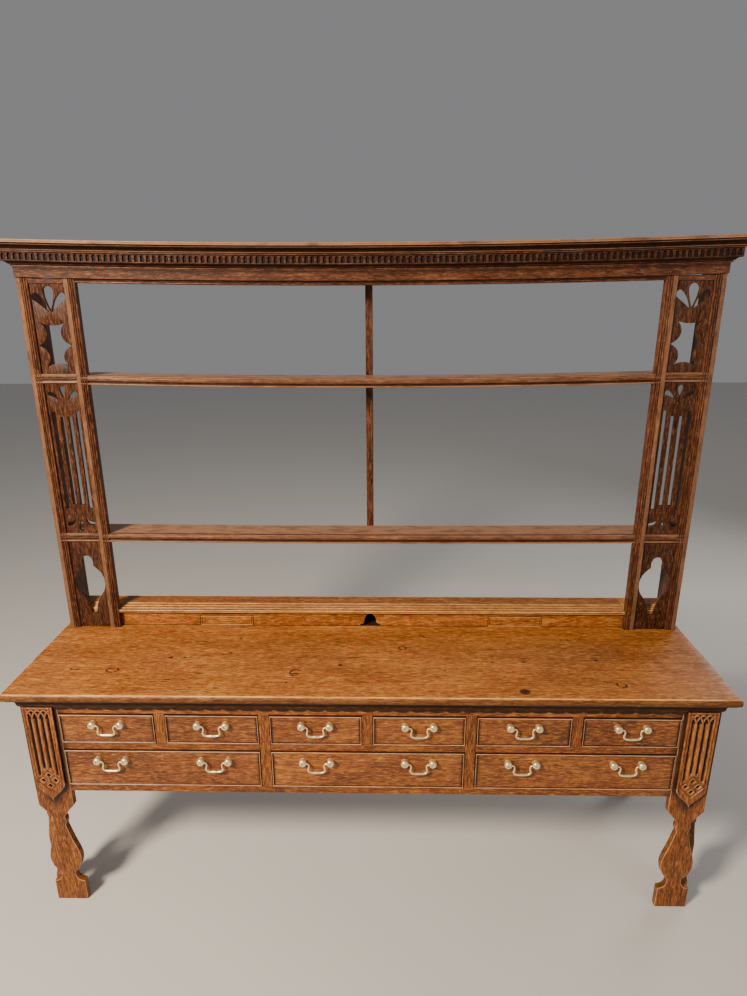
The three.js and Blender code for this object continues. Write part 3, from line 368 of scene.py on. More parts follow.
def makeBrass(look):
    # Pale polished brass that is duller and browner in patches and in its corners.
    material, start = newMaterial("old brass")
    place = start.node("ShaderNodeTexCoord", {}, output="Object")
    wear = start.node("ShaderNodeAttribute", {"attribute_name": "wear"}, output="Fac")
    patches, scratches = place.noise(*look["patches"]), place.noise(*look["scratches"])
    quirk = (0.0 - wear).between(*look["quirkSteps"])
    worn = patches.between(*look["patchSteps"]) * look["patchShare"]
    colour = start.mix(worn, rgba(look["bright"]), rgba(look["worn"]))
    colour = start.mix(quirk * look["quirkShare"], colour, rgba(look["dirt"]))
    rough = look["rough"] + (patches - 0.5) * look["patchRough"] + (scratches - 0.5) * look["scratchRough"]
    rough = rough + quirk * look["quirkRough"]
    height = scratches * look["scratchHeight"] + patches
    bump = start.node("ShaderNodeBump", {}, {"Strength": look["bump"], "Distance": look["bumpDepth"],
                                             "Height": height})
    finishMaterial(start, {"Base Color": colour, "Metallic": look["metallic"], "Roughness": rough,
                           "Normal": bump})
    return material


finishes = {
    "base_oak": makeOak("base oak", baseOak),
    "drawer_oak": makeOak("drawer oak", drawerOak),
    "top_oak": makeOak("top oak", topOak),
    "rack_oak": makeOak("rack oak", rackOak),
    "inner_oak": makeOak("inner oak", innerOak),
    "handle_brass": makeBrass(brassLook),
}
print("finishes made:", len(finishes))


# Sections and outlines: arrays of points in a plane

samePlace = 1e-6
tiny = 1e-9


def line(*points):
    # Straight lines from point to point.
    return np.array(points, float)


def arc(centre, radii, start, end, count):
    # Points on an ellipse about centre, from one angle to another, in degrees.
    turn = np.radians(np.linspace(start, end, count))
    return np.stack([centre[0] + radii[0] * np.cos(turn), centre[1] + radii[1] * np.sin(turn)], 1)


def bend(a, towards, b, count):
    # Quadratic curve that leaves a towards the second point and ends at b.
    t = np.linspace(0, 1, count)[:, None]
    a, towards, b = np.array(a), np.array(towards), np.array(b)
    return (1 - t) ** 2 * a + 2 * t * (1 - t) * towards + t ** 2 * b


def smoothLine(points, count):
    # Catmull-Rom curve through the points, with the same number of steps in each stretch.
    p = np.array(points, float)
    p = np.concatenate([[2 * p[0] - p[1]], p, [2 * p[-1] - p[-2]]])
    t = np.linspace(0, 1, count, endpoint=False)[None, :, None]
    a, b, c, d = (p[k:len(p) - 3 + k, None] for k in range(4))
    square, cube = 2 * a - 5 * b + 4 * c - d, 3 * b - 3 * c + d - a
    curve = 0.5 * (2 * b + (c - a) * t + square * t ** 2 + cube * t ** 3)
    return np.concatenate([curve.reshape(-1, p.shape[1]), p[-2:-1]])


def chain(*parts):
    # One list of points from several, without any that repeats the one before it.
    joined = np.concatenate([np.atleast_2d(np.array(part, float)) for part in parts])
    apart = np.linalg.norm(np.diff(joined, axis=0), axis=1) > samePlace
    return joined[np.concatenate([[True], apart])]


def finer(section, step):
    # A closed section with points added so that no side is longer than step.
    ends = np.roll(section, -1, 0)
    counts = np.maximum(1, np.ceil(np.linalg.norm(ends - section, axis=1) / step)).astype(int)
    sides = zip(section, ends, counts)
    return np.concatenate([a + (b - a) * np.arange(n)[:, None] / n for a, b, n in sides])


def area(loop):
    # Half the sum of the cross products of each point with the next; positive when anticlockwise.
    after = np.roll(loop, -1, 0)
    return 0.5 * np.sum(loop[:, 0] * after[:, 1] - after[:, 0] * loop[:, 1])


def ridges(section, reach=3, full=0.0007):
    # How far each point of a closed section stands out from the middle of its neighbours, over full:
    # from -1 in a quirk to 1 on a ridge.
    along = np.roll(section, -1, 0) - np.roll(section, 1, 0)
    outward = np.stack([along[:, 1], -along[:, 0]], 1) * np.sign(area(section))
    outward /= np.maximum(np.linalg.norm(outward, axis=1, keepdims=True), tiny)
    middle = sum(np.roll(section, k, 0) + np.roll(section, -k, 0) for k in range(1, reach + 1)) / (2 * reach)
    return np.clip(((section - middle) * outward).sum(1) / full, -1, 1)


def sagAt(sag, x, half):
    # How far a long piece has sunk at x: nothing at its ends, all of it in the middle.
    return sag * (1 - np.minimum(1, (x / half) ** 2))


# Skins: closed meshes with the place of each point in its board's grain

fineStep = 0.0012
boardNumbers = itertools.count(1)
grainOrder = {"x": (0, 1, 2), "y": (1, 0, 2), "z": (2, 0, 1)}
boardShift = np.array([3.1, 1.7, 0.9])
goldenShare = 0.61803


def volumeOf(points, faces):
    # A sixth of the sum of each triangle's box product.
    total = 0.0
    for block in faces:
        p = points[block]
        spread = np.cross(p[:, 1:-1] - p[:, :1], p[:, 2:] - p[:, :1])
        total += np.sum(spread * p[:, :1]) / 6
    return total


def skin(points, faces, along="x", wear=None):
    # Turns the faces outwards, and gives the board a number that sets its own grain and tint.
    points = np.asarray(points, float).reshape(-1, 3)
    if volumeOf(points, faces) < 0:
        faces = [block[:, ::-1] for block in faces]
    number = next(boardNumbers)
    return {
        "points": points,
        "faces": faces,
        "grain": points[:, grainOrder[along]] + boardShift * number,
        "wear": np.zeros(len(points)) if wear is None else np.asarray(wear, float).ravel(),
        "tint": np.full(len(points), number * goldenShare % 1),
    }


def gridFaces(rows, across, closed):
    # Quads between the rows of a grid; closed joins the end of each row to its start.
    i, j = np.meshgrid(np.arange(rows - 1), np.arange(across if closed else across - 1), indexing="ij")
    a, b = i * across + j, i * across + (j + 1) % across
    return np.stack([a, b, b + across, a + across], -1).reshape(-1, 4)


def tube(rings, along="x", wear=None):
    # Skin over rings of points, with both ends filled.
    rings = np.asarray(rings, float)
    count, across = rings.shape[:2]
    ends = [np.arange(across)[None, ::-1], np.arange(across)[None] + (count - 1) * across]
    if wear is not None:
        wear = np.broadcast_to(wear, (count, across))
    return skin(rings, [gridFaces(count, across, True), *ends], along, wear)


def boxSkin(low, high, along="x"):
    # Two rectangles, at the low and the high x.
    (x0, y0, z0), (x1, y1, z1) = low, high
    rings = [[(x, y0, z0), (x, y1, z0), (x, y1, z1), (x, y0, z1)] for x in (x0, x1)]
    return tube(rings, along)


def alongX(section, x0, x1, sag=0.0, half=1.0, step=fineStep, count=25):
    # A section of (y, z) points carried from x0 to x1 and sunk by the sag.
    section = finer(section, step)
    x = np.linspace(x0, x1, count if sag else 2)[:, None]
    y, z = np.broadcast_to(section[:, 0], (len(x), len(section))), section[:, 1] - sagAt(sag, x, half)
    return tube(np.stack([x + 0 * y, y, z], -1), "x", ridges(section))


def mitredRuns(section, half, frontY, rearY, sag=0.0, step=fineStep):
    # A section of (out, z) points carried along the front and back along both ends, in three mitred runs.
    section = finer(section, step)
    out, z = section.T
    wear = ridges(section)
    share = np.linspace(-1, 1, 41 if sag else 2)[:, None]
    x = share * (half + out)
    front = np.stack([x, frontY - out + 0 * x, z - sagAt(sag, x, half)], -1)
    runs = [tube(front, "x", wear)]
    for side in (-1, 1):
        t = np.linspace(0, 1, 2)[:, None]
        y = (1 - t) * (frontY - out) + t * rearY
        runs.append(tube(np.stack([side * (half + out) + 0 * y, y, z + 0 * y], -1), "y", wear))
    return runs


def agreeing(faces):
    # True if each side is used once in each direction.
    sides = np.concatenate([np.stack([block, np.roll(block, -1, 1)], -1).reshape(-1, 2) for block in faces])
    size = sides.max() + 1
    forth, back = sides[:, 0] * size + sides[:, 1], sides[:, 1] * size + sides[:, 0]
    return len(np.unique(forth)) == len(forth) and np.array_equal(np.sort(forth), np.sort(back))


def borderOf(index):
    # The numbers around a grid: its first row, last column, last row and first column in turn.
    return np.concatenate([index[0], index[1:, -1], index[-1, -2::-1], index[-2:0:-1, 0]])


def sheetFaces(rows, across, rings):
    # A grid, the same grid again behind it, and bands over the rings of points that join their borders.
    cells = gridFaces(rows, across, False)
    a, b = rings[:-1], rings[1:]
    band = np.stack([a, np.roll(a, -1, 1), np.roll(b, -1, 1), b], -1).reshape(-1, 4)
    faces = [cells, cells[:, ::-1] + rows * across, band]
    return faces if agreeing(faces) else [*faces[:2], band[:, ::-1]]


def inset(loop, distance):
    # A closed loop moved to its left; at a corner it moves along the mean of the two sides' normals.
    side = np.roll(loop, -1, 0) - loop
    side /= np.maximum(np.linalg.norm(side, axis=1, keepdims=True), tiny)
    left = np.stack([-side[:, 1], side[:, 0]], 1)
    mean = left + np.roll(left, 1, 0)
    mean /= np.maximum(np.linalg.norm(mean, axis=1, keepdims=True), tiny)
    reach = 1 / np.maximum((mean * left).sum(1), 0.5)
    return loop + distance * mean * reach[:, None]


def insideLoops(points, loops):
    # True where a point is inside an odd number of the loops.
    odd = np.zeros(len(points), bool)
    for loop in loops:
        a, b = loop, np.roll(loop, -1, 0)
        crosses = (a[:, 1] > points[:, 1:2]) != (b[:, 1] > points[:, 1:2])
        rise = np.where(np.abs(b[:, 1] - a[:, 1]) < 1e-12, 1e-12, b[:, 1] - a[:, 1])
        at = a[:, 0] + (points[:, 1:2] - a[:, 1]) * (b[:, 0] - a[:, 0]) / rise
        odd ^= (crosses & (points[:, :1] < at)).sum(1) % 2 == 1
    return odd


def fillLoops(loops):
    # Triangles over the area between an outline and its holes, as indices into all their points.
    flat = np.concatenate(loops)
    starts = np.cumsum([0] + [len(loop) for loop in loops[:-1]])
    sides = [(start + i, start + (i + 1) % len(loop)) for start, loop in zip(starts.tolist(), loops)
             for i in range(len(loop))]
    found = delaunay_2d_cdt(flat.tolist(), sides, [], 1, tiny)
    origin = np.array([ids[0] if ids else -1 for ids in found[3]])
    triangles = np.array(found[2])
    middles = np.array([tuple(p) for p in found[0]])[triangles].mean(1)
    triangles = origin[triangles[insideLoops(middles, loops)]]
    return triangles[(triangles >= 0).all(1)]


def plateSkin(outline, holes, y0, y1, edge, along="z", steps=3, depthAxis=1, arris=0.25, walls=-0.15):
    # A board from y0 to y1 with pierced holes; its front edges are rounded by edge, its rear ones less.
    # The outline runs anticlockwise and each hole clockwise, so that the wood is on the left.
    loops = [outline if area(outline) > 0 else outline[::-1]]
    loops += [hole if area(hole) < 0 else hole[::-1] for hole in holes]
    turn = np.linspace(0, math.pi / 2, steps + 1)
    rear = edge / 2
    insets = np.concatenate([edge * (1 - np.sin(turn)), [0.0, rear]])
    depths = np.concatenate([y0 + edge * (1 - np.cos(turn)), [y1 - rear, y1]])
    blocks, caps, rearCaps, faces, start = [], [], [], [], 0
    for loop in loops:
        rings = np.stack([inset(loop, d) for d in insets])
        depth = np.broadcast_to(depths[:, None, None], rings.shape[:2] + (1,))
        blocks.append(np.concatenate([rings[..., :1], depth, rings[..., 1:]], -1).reshape(-1, 3))
        faces.append(gridFaces(len(insets), len(loop), True) + start)
        caps.append(np.arange(len(loop)) + start)
        rearCaps.append(np.arange(len(loop)) + start + (len(insets) - 1) * len(loop))
        start += len(blocks[-1])
    fill = fillLoops([inset(loop, edge) for loop in loops])
    faces.append(np.concatenate(caps)[fill][:, ::-1])
    faces.append(np.concatenate(rearCaps)[fill])
    points = np.concatenate(blocks)
    if depthAxis == 0:
        points = points[:, (1, 0, 2)]
    # The rounded front edge is rubbed pale by arris, which where it is large is also a painted highlight; the
    # sides and the walls of the holes are painted darker by walls, for their shade.
    ringWearAndShade = np.array([0.0] + [arris] * (steps - 1) + [walls, walls, walls])
    wear = np.concatenate([np.repeat(ringWearAndShade, len(loop)) for loop in loops])
    return skin(points, faces, along, wear)


def turnedSkin(profile, centre, sides=28):
    # A profile of (radius, distance to the front) points turned about the Y axis; it starts and ends on it.
    turn = np.linspace(0, 2 * math.pi, sides, endpoint=False)
    radius, out = profile[1:-1].T
    rings = np.stack([radius[:, None] * np.cos(turn), np.repeat(-out[:, None], sides, 1),
                      radius[:, None] * np.sin(turn)], -1)
    poles = np.array([[0, -profile[0][1], 0], [0, -profile[-1][1], 0]])
    points = np.concatenate([rings.reshape(-1, 3), poles]) + centre
    count = len(radius)
    here, after = np.arange(sides), (np.arange(sides) + 1) % sides
    first = np.stack([after, here, np.full(sides, count * sides)], 1)
    last = (count - 1) * sides
    final = np.stack([here + last, after + last, np.full(sides, count * sides + 1)], 1)
    closed = np.concatenate([profile, profile[-2:0:-1] * (-1, 1)])
    wear = ridges(closed, 2, 0.0005)[1:len(profile) - 1]
    wear = np.concatenate([np.repeat(wear, sides), [0.0, 0.0]])
    return skin(points, [gridFaces(count, sides, True), first, final], "y", wear)


def toned(skins, amount):
    # The same skins with their tint moved, which makes the wood paler, or darker for an amount below 0.
    for made in skins:
        made["tint"] = made["tint"] + amount
    return skins


# Pieces: one mesh from one or more skins, riding on a body and standing for its CAD nodes

def makePiece(name, skins, slotName, nodes=(), body="root", soften=0.0, smoothAngle=35.0):
    # The skins' points and faces follow one another in one mesh; soften is the width of its worn edges.
    counts = np.cumsum([0] + [len(s["points"]) for s in skins])
    blocks = [block + start for s, start in zip(skins, counts) for block in s["faces"]]
    points = np.concatenate([s["points"] for s in skins])
    totals = np.concatenate([np.full(len(b), b.shape[1]) for b in blocks])
    corners = np.concatenate([b.ravel() for b in blocks])
    mesh = bpy.data.meshes.new(name)
    mesh.vertices.add(len(points))
    mesh.vertices.foreach_set("co", points.astype(np.float32).ravel())
    mesh.loops.add(len(corners))
    mesh.loops.foreach_set("vertex_index", corners.astype(np.int32))
    mesh.polygons.add(len(totals))
    mesh.polygons.foreach_set("loop_start", np.concatenate([[0], np.cumsum(totals)[:-1]]).astype(np.int32))
    mesh.polygons.foreach_set("loop_total", totals.astype(np.int32))
    mesh.update(calc_edges=True)
    kinds = {"grain": ("FLOAT_VECTOR", "vector"), "wear": ("FLOAT", "value"), "tint": ("FLOAT", "value")}
    for key, (kind, field) in kinds.items():
        values = np.concatenate([s[key] for s in skins]).astype(np.float32)
        mesh.attributes.new(key, kind, "POINT").data.foreach_set(field, values.ravel())
    mesh.polygons.foreach_set("use_smooth", np.ones(len(totals), bool))
    mesh.set_sharp_from_angle(angle=math.radians(smoothAngle))
    mesh.materials.append(finishes[slotName])
    piece = bpy.data.objects.new(name, mesh)
    bpy.context.scene.collection.objects.link(piece)
    if soften:
        bevel = piece.modifiers.new("worn edges", "BEVEL")
        bevel.width = soften
        bevel.segments = 2
        bevel.limit_method = "ANGLE"
        bevel.angle_limit = math.radians(40)
        bevel.harden_normals = True
    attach(piece, body)
    if nodes:
        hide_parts(*nodes)
    return piece


def nodeCorners(node):
    # The low and the high corner of a CAD node's box.
    low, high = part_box(node)
    return np.array(low), np.array(high)


def boxPiece(node, along, slotName, soften=0.0015):
    # A plain board: the node's own box with worn edges.
    makePiece(f"{node}_board", [boxSkin(*nodeCorners(node), along)], slotName, [node], soften=soften)


# Places taken from the frame

boardLow, boardHigh = nodeCorners("top_board")
railLow, railHigh = nodeCorners("top_rail")
legLow, legHigh = nodeCorners("front_leg_right")
carcaseY = railLow[1]
stileThick = railHigh[1] - railLow[1]
stileWidth = legHigh[0] - legLow[0]
carcaseHalf = legHigh[0]
underBoard = railHigh[2]
legX = (legLow[0] + legHigh[0]) / 2
coveLow, coveHigh = nodeCorners("cove_moulding")
pilasterLow, pilasterHigh = nodeCorners("pilaster_frame_right")
rackFace, pilasterRear = pilasterLow[1], pilasterHigh[1]
rackHalf = pilasterHigh[0]
bayHalf = pilasterLow[0]
rackFoot, pilasterHead = pilasterLow[2], pilasterHigh[2]
rackRear = nodeCorners("end_board_right")[1][1]
fit = 0.0003
sags = {"lower_shelf": 0.006, "upper_shelf": 0.017, "cornice": 0.016}


# Working top: boards with open joints, rounded at the front and the ends

topShape = {
    "nose": 0.008, "jointShares": (0.36, 0.71), "jointHalf": 0.0006, "jointDeep": 0.0006, "jointWear": -0.8,
    "jointSteps": (-4, -2, -1, 0, 1, 2, 4), "wave": 0.0003, "waves": (9, 3, 31), "stepX": 0.03, "stepY": 0.02,
    "cornerShare": 0.75, "rubbedEdge": ((0.96, 0.85), (0.93, 0.4)), "edgeShade": (-0.33, -0.1),
    "edgeShares": [(0, 0), (0.45, 0.03), (0.62, 0.06), (0.86, 0.19), (1, 0.36), (1, 0.6), (0.92, 0.74),
                   (0.7, 0.86), (0.45, 0.94), (0.2, 0.985), (0, 1)],
}


def makeTopBoard(s):
    # A grid of the upper face, let down in the joints and in a slight wave; its border is carried down the
    # rounded edge in rings that stand out by the edge shares, and the underside is a grid again.
    half, frontY, rearY = boardHigh[0] - s["nose"], boardLow[1] + s["nose"], boardHigh[1]
    depth = rearY - frontY
    joints = frontY + np.array(s["jointShares"]) * depth
    even = np.arange(frontY, rearY, s["stepY"])
    even = even[(np.abs(even[:, None] - joints) > 6 * s["jointHalf"]).all(1)]
    near = (joints[:, None] + np.array(s["jointSteps"]) * s["jointHalf"]).ravel()
    y = np.sort(np.concatenate([even, near, [rearY]]))
    x = np.linspace(-half, half, int(2 * half / s["stepX"]))
    gridX, gridY = np.meshgrid(x, y, indexing="ij")
    inJoint = (np.abs(gridY[..., None] - joints) < 0.5 * s["jointHalf"]).any(-1)
    inner = (np.abs(gridX) < half - samePlace) & (gridY > frontY + samePlace) & (gridY < rearY - samePlace)
    alongWave, slant, acrossWave = s["waves"]
    wave = np.sin(alongWave * gridX + slant * gridY) * np.cos(acrossWave * gridY) - 1
    wave = s["wave"] * wave * inner
    top = boardHigh[2] + wave - s["jointDeep"] * inJoint * inner
    columns, rows = gridX.shape
    border = borderOf(np.arange(columns * rows).reshape(columns, rows).T)
    upper = np.stack([gridX, gridY, top], -1).reshape(-1, 3)
    lower = np.stack([gridX, gridY, np.full_like(top, boardLow[2])], -1).reshape(-1, 3)
    edge = upper[border]
    sideways = np.sign(edge[:, 0]) * (np.abs(edge[:, 0]) > half - samePlace)
    forwards = -1.0 * (edge[:, 1] < frontY + samePlace)
    cornerShare = np.where((sideways != 0) & (forwards != 0), s["cornerShare"], 1.0)
    rings = []
    for out, up in s["edgeShares"][-2:0:-1]:
        push = out * s["nose"] * cornerShare
        height = np.full(len(edge), boardLow[2] + up * (boardHigh[2] - boardLow[2]))
        rings.append(np.stack([edge[:, 0] + sideways * push, edge[:, 1] + forwards * push, height], -1))
    points = np.concatenate([upper, lower, *rings])
    size, count = len(upper), len(border)
    ringIndex = np.concatenate([border[None], 2 * size + np.arange(len(rings) * count).reshape(-1, count),
                                size + border[None]])
    made = skin(points, sheetFaces(columns, rows, ringIndex), "x")
    plank = (points[:, 1:2] > joints).sum(1)
    made["grain"] = made["grain"] + boardShift * plank[:, None]
    made["tint"] = (made["tint"] + plank * goldenShare) % 1
    (ridge, ridgeWear), (shoulder, shoulderWear) = s["rubbedEdge"]
    up = np.array(s["edgeShares"][-2:0:-1])[:, 1]
    # Along the edge the arris and the shoulder are rubbed pale; below them the rounding is painted darker towards
    # the underside, for its shade.
    edgeWearAndShade = np.where(up > ridge, ridgeWear, np.where(up > shoulder, shoulderWear,
                                                        s["edgeShade"][0] + s["edgeShade"][1] * (1 - up)))
    made["wear"][2 * size:] = np.repeat(edgeWearAndShade, count)
    made["wear"][:size] = np.where((inJoint & inner).ravel(), s["jointWear"], 0)
    makePiece("top_board_planks", [made], "top_oak", ["top_board"])


makeTopBoard(topShape)
print("working top made")


# Carcase of the base

legShape = {
    "blockDrop": 0.060, "shoulderDrop": 0.050, "neckHalf": 0.0205, "neckBeadProud": 0.004,
    "neckBeadHeight": 0.028, "neckHeight": 0.010, "pearHalf": 0.053, "ankleHalf": 0.0235,
    "ankleHeight": 0.117, "footHalf": 0.052, "footHeight": 0.080, "edge": 0.0022, "rearEdge": 0.00132,
    # A painted highlight along the rounded front edges, together with their wear.
    "arris": 0.85,
    "pearShares": [(0.84, 0.14), (1, 0.33), (0.9, 0.5), (0.66, 0.71)],
}


def legOutline(s):
    # Right half of the silhouette, from the foot up: a square foot, a hollow, a pear, a neck with a bead,
    # a shoulder and the block.
    half = stileWidth / 2
    blockEnd = nodeCorners("bottom_rail")[0][2] - s["blockDrop"]
    shoulderEnd = blockEnd - s["shoulderDrop"]
    beadFoot = shoulderEnd - s["neckBeadHeight"]
    pearTop = beadFoot - s["neckHeight"]
    pearHeight = pearTop - s["ankleHeight"]
    pear = [(out * s["pearHalf"], s["ankleHeight"] + up * pearHeight) for out, up in s["pearShares"]]
    ankle, foot = (s["ankleHalf"], s["ankleHeight"]), (s["footHalf"], s["footHeight"])
    neck, bead = (s["neckHalf"], pearTop), (s["neckHalf"], beadFoot)
    shoulder = (s["neckHalf"], shoulderEnd)
    beadMiddle = (s["neckHalf"] + 2 * s["neckBeadProud"], (beadFoot + shoulderEnd) / 2)
    corner = ((s["neckHalf"] + half) / 3, (shoulderEnd + blockEnd) / 2 - s["shoulderDrop"] / 5)
    return chain((s["footHalf"], 0), bend(foot, (s["ankleHalf"], s["footHeight"]), ankle, 8),
                 smoothLine([ankle, *pear, neck], 6), bend(bead, beadMiddle, shoulder, 9),
                 bend(shoulder, corner, (half, blockEnd), 9), (half, underBoard))


def bothSides(right, middle):
    # A closed outline from its right half, which runs from the foot up.
    left = right[::-1] * (-1, 1)
    return chain(right, left) + (middle, 0)


def makeFrontLegs(s):
    # The silhouette twice: across the front, and at the outer side behind the front plank.
    right = legOutline(s)
    rearOfFront = carcaseY + stileThick
    for side, word in ((-1, "left"), (1, "right")):
        across = bothSides(right, side * legX)
        front = plateSkin(across, [], carcaseY, rearOfFront, s["edge"], arris=s["arris"])
        behind = bothSides(right, carcaseY + stileWidth / 2)
        behind[:, 0] = np.maximum(behind[:, 0], rearOfFront)
        x0, x1 = sorted((side * carcaseHalf, side * (carcaseHalf - stileThick)))
        back = plateSkin(behind, [], x0, x1, s["rearEdge"], depthAxis=0)
        makePiece(f"front_leg_{word}_planks", [front, back], "base_oak", [f"front_leg_{word}"])


def makeRails():
    # Plain boards; the middle rail is split by the full dividers in front and runs on behind them.
    boxPiece("top_rail", "x", "base_oak")
    boxPiece("bottom_rail", "x", "base_oak")
    low, high = nodeCorners("middle_rail")
    edges = [low[0]]
    for word in ("left", "right"):
        muntinLow, muntinHigh = nodeCorners(f"full_muntin_{word}")
        edges += [muntinLow[0] - fit, muntinHigh[0] + fit]
    edges.append(high[0])
    rear = nodeCorners("full_muntin_left")[1][1] + fit
    skins = [boxSkin((low[0], rear, low[2]), high)]
    skins += [boxSkin((x0, low[1], low[2]), (x1, rear, high[2])) for x0, x1 in zip(edges[::2], edges[1::2])]
    makePiece("middle_rail_board", skins, "base_oak", ["middle_rail"], soften=0.0012)
    for node in ("full_muntin_left", "full_muntin_right", "short_muntin_left", "short_muntin_right",
                 "short_muntin_middle", "rear_leg_left", "rear_leg_right"):
        boxPiece(node, "z", "base_oak")
    for node in ("end_panel_left", "end_panel_right"):
        boxPiece(node, "y", "base_oak")
    boxPiece("back_panel", "x", "inner_oak")


dustShape = {"thick": 0.014, "guideWidth": 0.022, "guideGap": 0.0015}


def makeDustBoards(s):
    # A board across the carcase with a guide behind each divider and beside each end.
    full = ["full_muntin_left", "full_muntin_right"]
    rows = {
        "upper": ["short_muntin_left", full[0], "short_muntin_middle", full[1], "short_muntin_right"],
        "lower": full,
    }
    for word, dividers in rows.items():
        low, high = nodeCorners(f"{word}_dust_board")
        top = low[2] + s["thick"]
        skins = [boxSkin(low, (high[0], high[1], top))]
        middles = [sum(nodeCorners(node))[0] / 2 for node in dividers]
        spans = [(x - s["guideWidth"] / 2, x + s["guideWidth"] / 2) for x in middles]
        opening = legLow[0] + s["guideGap"]
        spans += [(-high[0], -opening), (opening, high[0])]
        skins += [boxSkin((x0, low[1], top), (x1, high[1], high[2]), "y") for x0, x1 in spans]
        makePiece(f"{word}_dust_board_and_guides", skins, "inner_oak", [f"{word}_dust_board"], soften=0.001)


coveShape = {
    "foot": 0.004, "fillet": 0.0045, "bead": 0.003, "beadShare": 0.8, "hollowFoot": 0.0025,
    "mostWear": 0.3, "paintedShading": 0.7,
}


def makeCove(s):
    # From the foot fillet a quarter hollow sweeps out to a square fillet under the board.
    proud = coveHigh[0] - carcaseHalf
    foot, top = coveLow[2], coveHigh[2]
    height = top - foot - s["fillet"] - s["foot"] - s["bead"]
    centre = (proud, foot + s["foot"] + s["bead"])
    hollow = arc(centre, (proud - s["foot"] - s["hollowFoot"], height), 180, 90, 14)
    radii = (s["bead"] * s["beadShare"], s["bead"] / 2)
    bead = arc((s["foot"], foot + s["foot"] + s["bead"] / 2), radii, -90, 90, 6)
    section = chain((fit, foot), (s["foot"], foot), (s["foot"], foot + s["foot"]), bead, hollow,
                    (proud, top - s["fillet"]), (proud, top), (fit, top))
    runs = mitredRuns(section, carcaseHalf, carcaseY, coveHigh[1])
    # The whole cove is painted darker, for the shade under the overhanging top; its ridges are rubbed pale only a
    # little.
    for run in runs:
        run["wear"] = np.minimum(run["wear"], s["mostWear"]) - s["paintedShading"]
    makePiece("cove_moulding_runs", runs, "base_oak", ["cove_moulding"])


scallopShape = {
    "pitch": 0.053, "deep": 0.0076, "edge": 0.0005, "paintedShading": 0.62, "roundShare": 0.45, "cuspPower": 7,
}


def makeScallops(s):
    # The foot of the strip hangs in arcs that meet in upward points: its height over the middle of an arc
    # is a share that goes with the square of the way to the point, and the rest with its seventh power.
    low, high = nodeCorners("scallop_strip")
    count = round((high[0] - low[0]) / s["pitch"])
    pitch = (high[0] - low[0]) / count
    across = np.linspace(-1, 1, 13)[:-1]
    x = low[0] + (np.arange(count)[:, None] + (across + 1) / 2) * pitch
    rise = s["roundShare"] * across ** 2 + (1 - s["roundShare"]) * np.abs(across) ** s["cuspPower"]
    z = low[2] + s["deep"] * rise + 0 * x
    foot = np.stack([x.ravel(), z.ravel()], 1)
    outline = chain(foot, (high[0], low[2] + s["deep"]), (high[0], high[2]), (low[0], high[2]))
    strip = plateSkin(outline, [], low[1], high[1], s["edge"], "x", steps=2)
    # The strip is painted darker, for the shade under the cove and the overhanging top.
    strip["wear"] = strip["wear"] - s["paintedShading"]
    makePiece("scallop_strip_board", [strip], "base_oak", ["scallop_strip"])


makeFrontLegs(legShape)
makeRails()
makeDustBoards(dustShape)
makeCove(coveShape)
makeScallops(scallopShape)
print("carcase made")


# Shields: fluted plates with crossing pointed arches above and four diamonds above the foot

shieldShape = {
    "point": 0.069, "pointPower": 0.85, "leastShare": 0.006, "edge": 0.0020, "step": 0.0011, "tone": 0.9,
    "pitch": 0.0195, "deep": 0.0068, "ribHalf": 0.0048, "ribRound": 0.0018, "rimHalf": 0.0050, "hollow": 1.7,
    "innerFoot": 0.121, "outerFoot": 0.095, "footSlope": 1.3, "footShare": 0.6, "topBand": 0.0065,
    "archSpring": 0.043, "archRibHalf": 0.0016, "archStart": -0.002, "archSpan": 0.52, "springFade": 0.006,
    "springDrop": 0.01, "grooveAt": 0.0055, "grooveHalf": 0.0014, "grooveDeep": 0.0016,
    "diamondRise": 0.080, "diamondHalf": 0.0086, "diamondSpread": 0.020, "diamondDeep": 0.0085,
    "diamondWall": 0.0009, "frame": 0.0040, "frameDeep": 0.0020, "frameWall": 0.0012, "valleyReach": 0.014,
}
# Shade is painted shade in the flutes, holes, valleys and grooves; light is a painted highlight on the ribs, the
# frames and the arches.
shieldLook = {
    "fluteShade": 1.5, "archShade": 0.0026, "grooveShade": 0.75, "valleyShade": 0.16, "shadeShare": 0.95,
    "ribLight": 0.3, "frameLight": 0.3, "frameShade": 0.3, "archLight": 0.16, "archTop": 0.0004,
    "proudDepth": 0.0006, "proudShare": 0.6, "rimFrom": 1.4, "rimWidth": 0.0022, "rimShare": 0.6,
}


def shieldHalf(z, foot, half, s):
    # Half width at a height: full above the point's height, and an ogee that draws in to nothing below.
    t = np.clip((z - foot) / s["point"], 0, 1)
    return half * np.clip(0.5 - 0.5 * np.cos(math.pi * t ** s["pointPower"]), s["leastShare"], 1)


def toArches(x, rise, s):
    # The least distance from the arcs that spring both ways from five places, a pitch apart; their radius
    # is two pitches.
    radius = 2 * s["pitch"]
    arcs = []
    for start in s["pitch"] * np.array([-2.0, -1.0, 0.0, 1.0, 2.0]):
        for way in (-1, 1):
            inSpan = (x - start) * way
            onArc = np.abs(np.hypot(x - (start + way * radius), np.maximum(rise, 0)) - radius)
            onArc = onArc - s["archRibHalf"]
            arcs.append(np.where((inSpan > s["archStart"]) & (inSpan < radius * s["archSpan"]), onArc, 1.0))
    return np.min(arcs, 0)


def toDiamonds(x, up, s):
    # The least sum of the ways across and up from the middles of the four diamonds.
    middles = s["diamondSpread"] * np.array([(-1, 0), (1, 0), (0, -1), (0, 1)])
    return np.min([np.abs(x - a) + np.abs(up - b) for a, b in middles], 0)


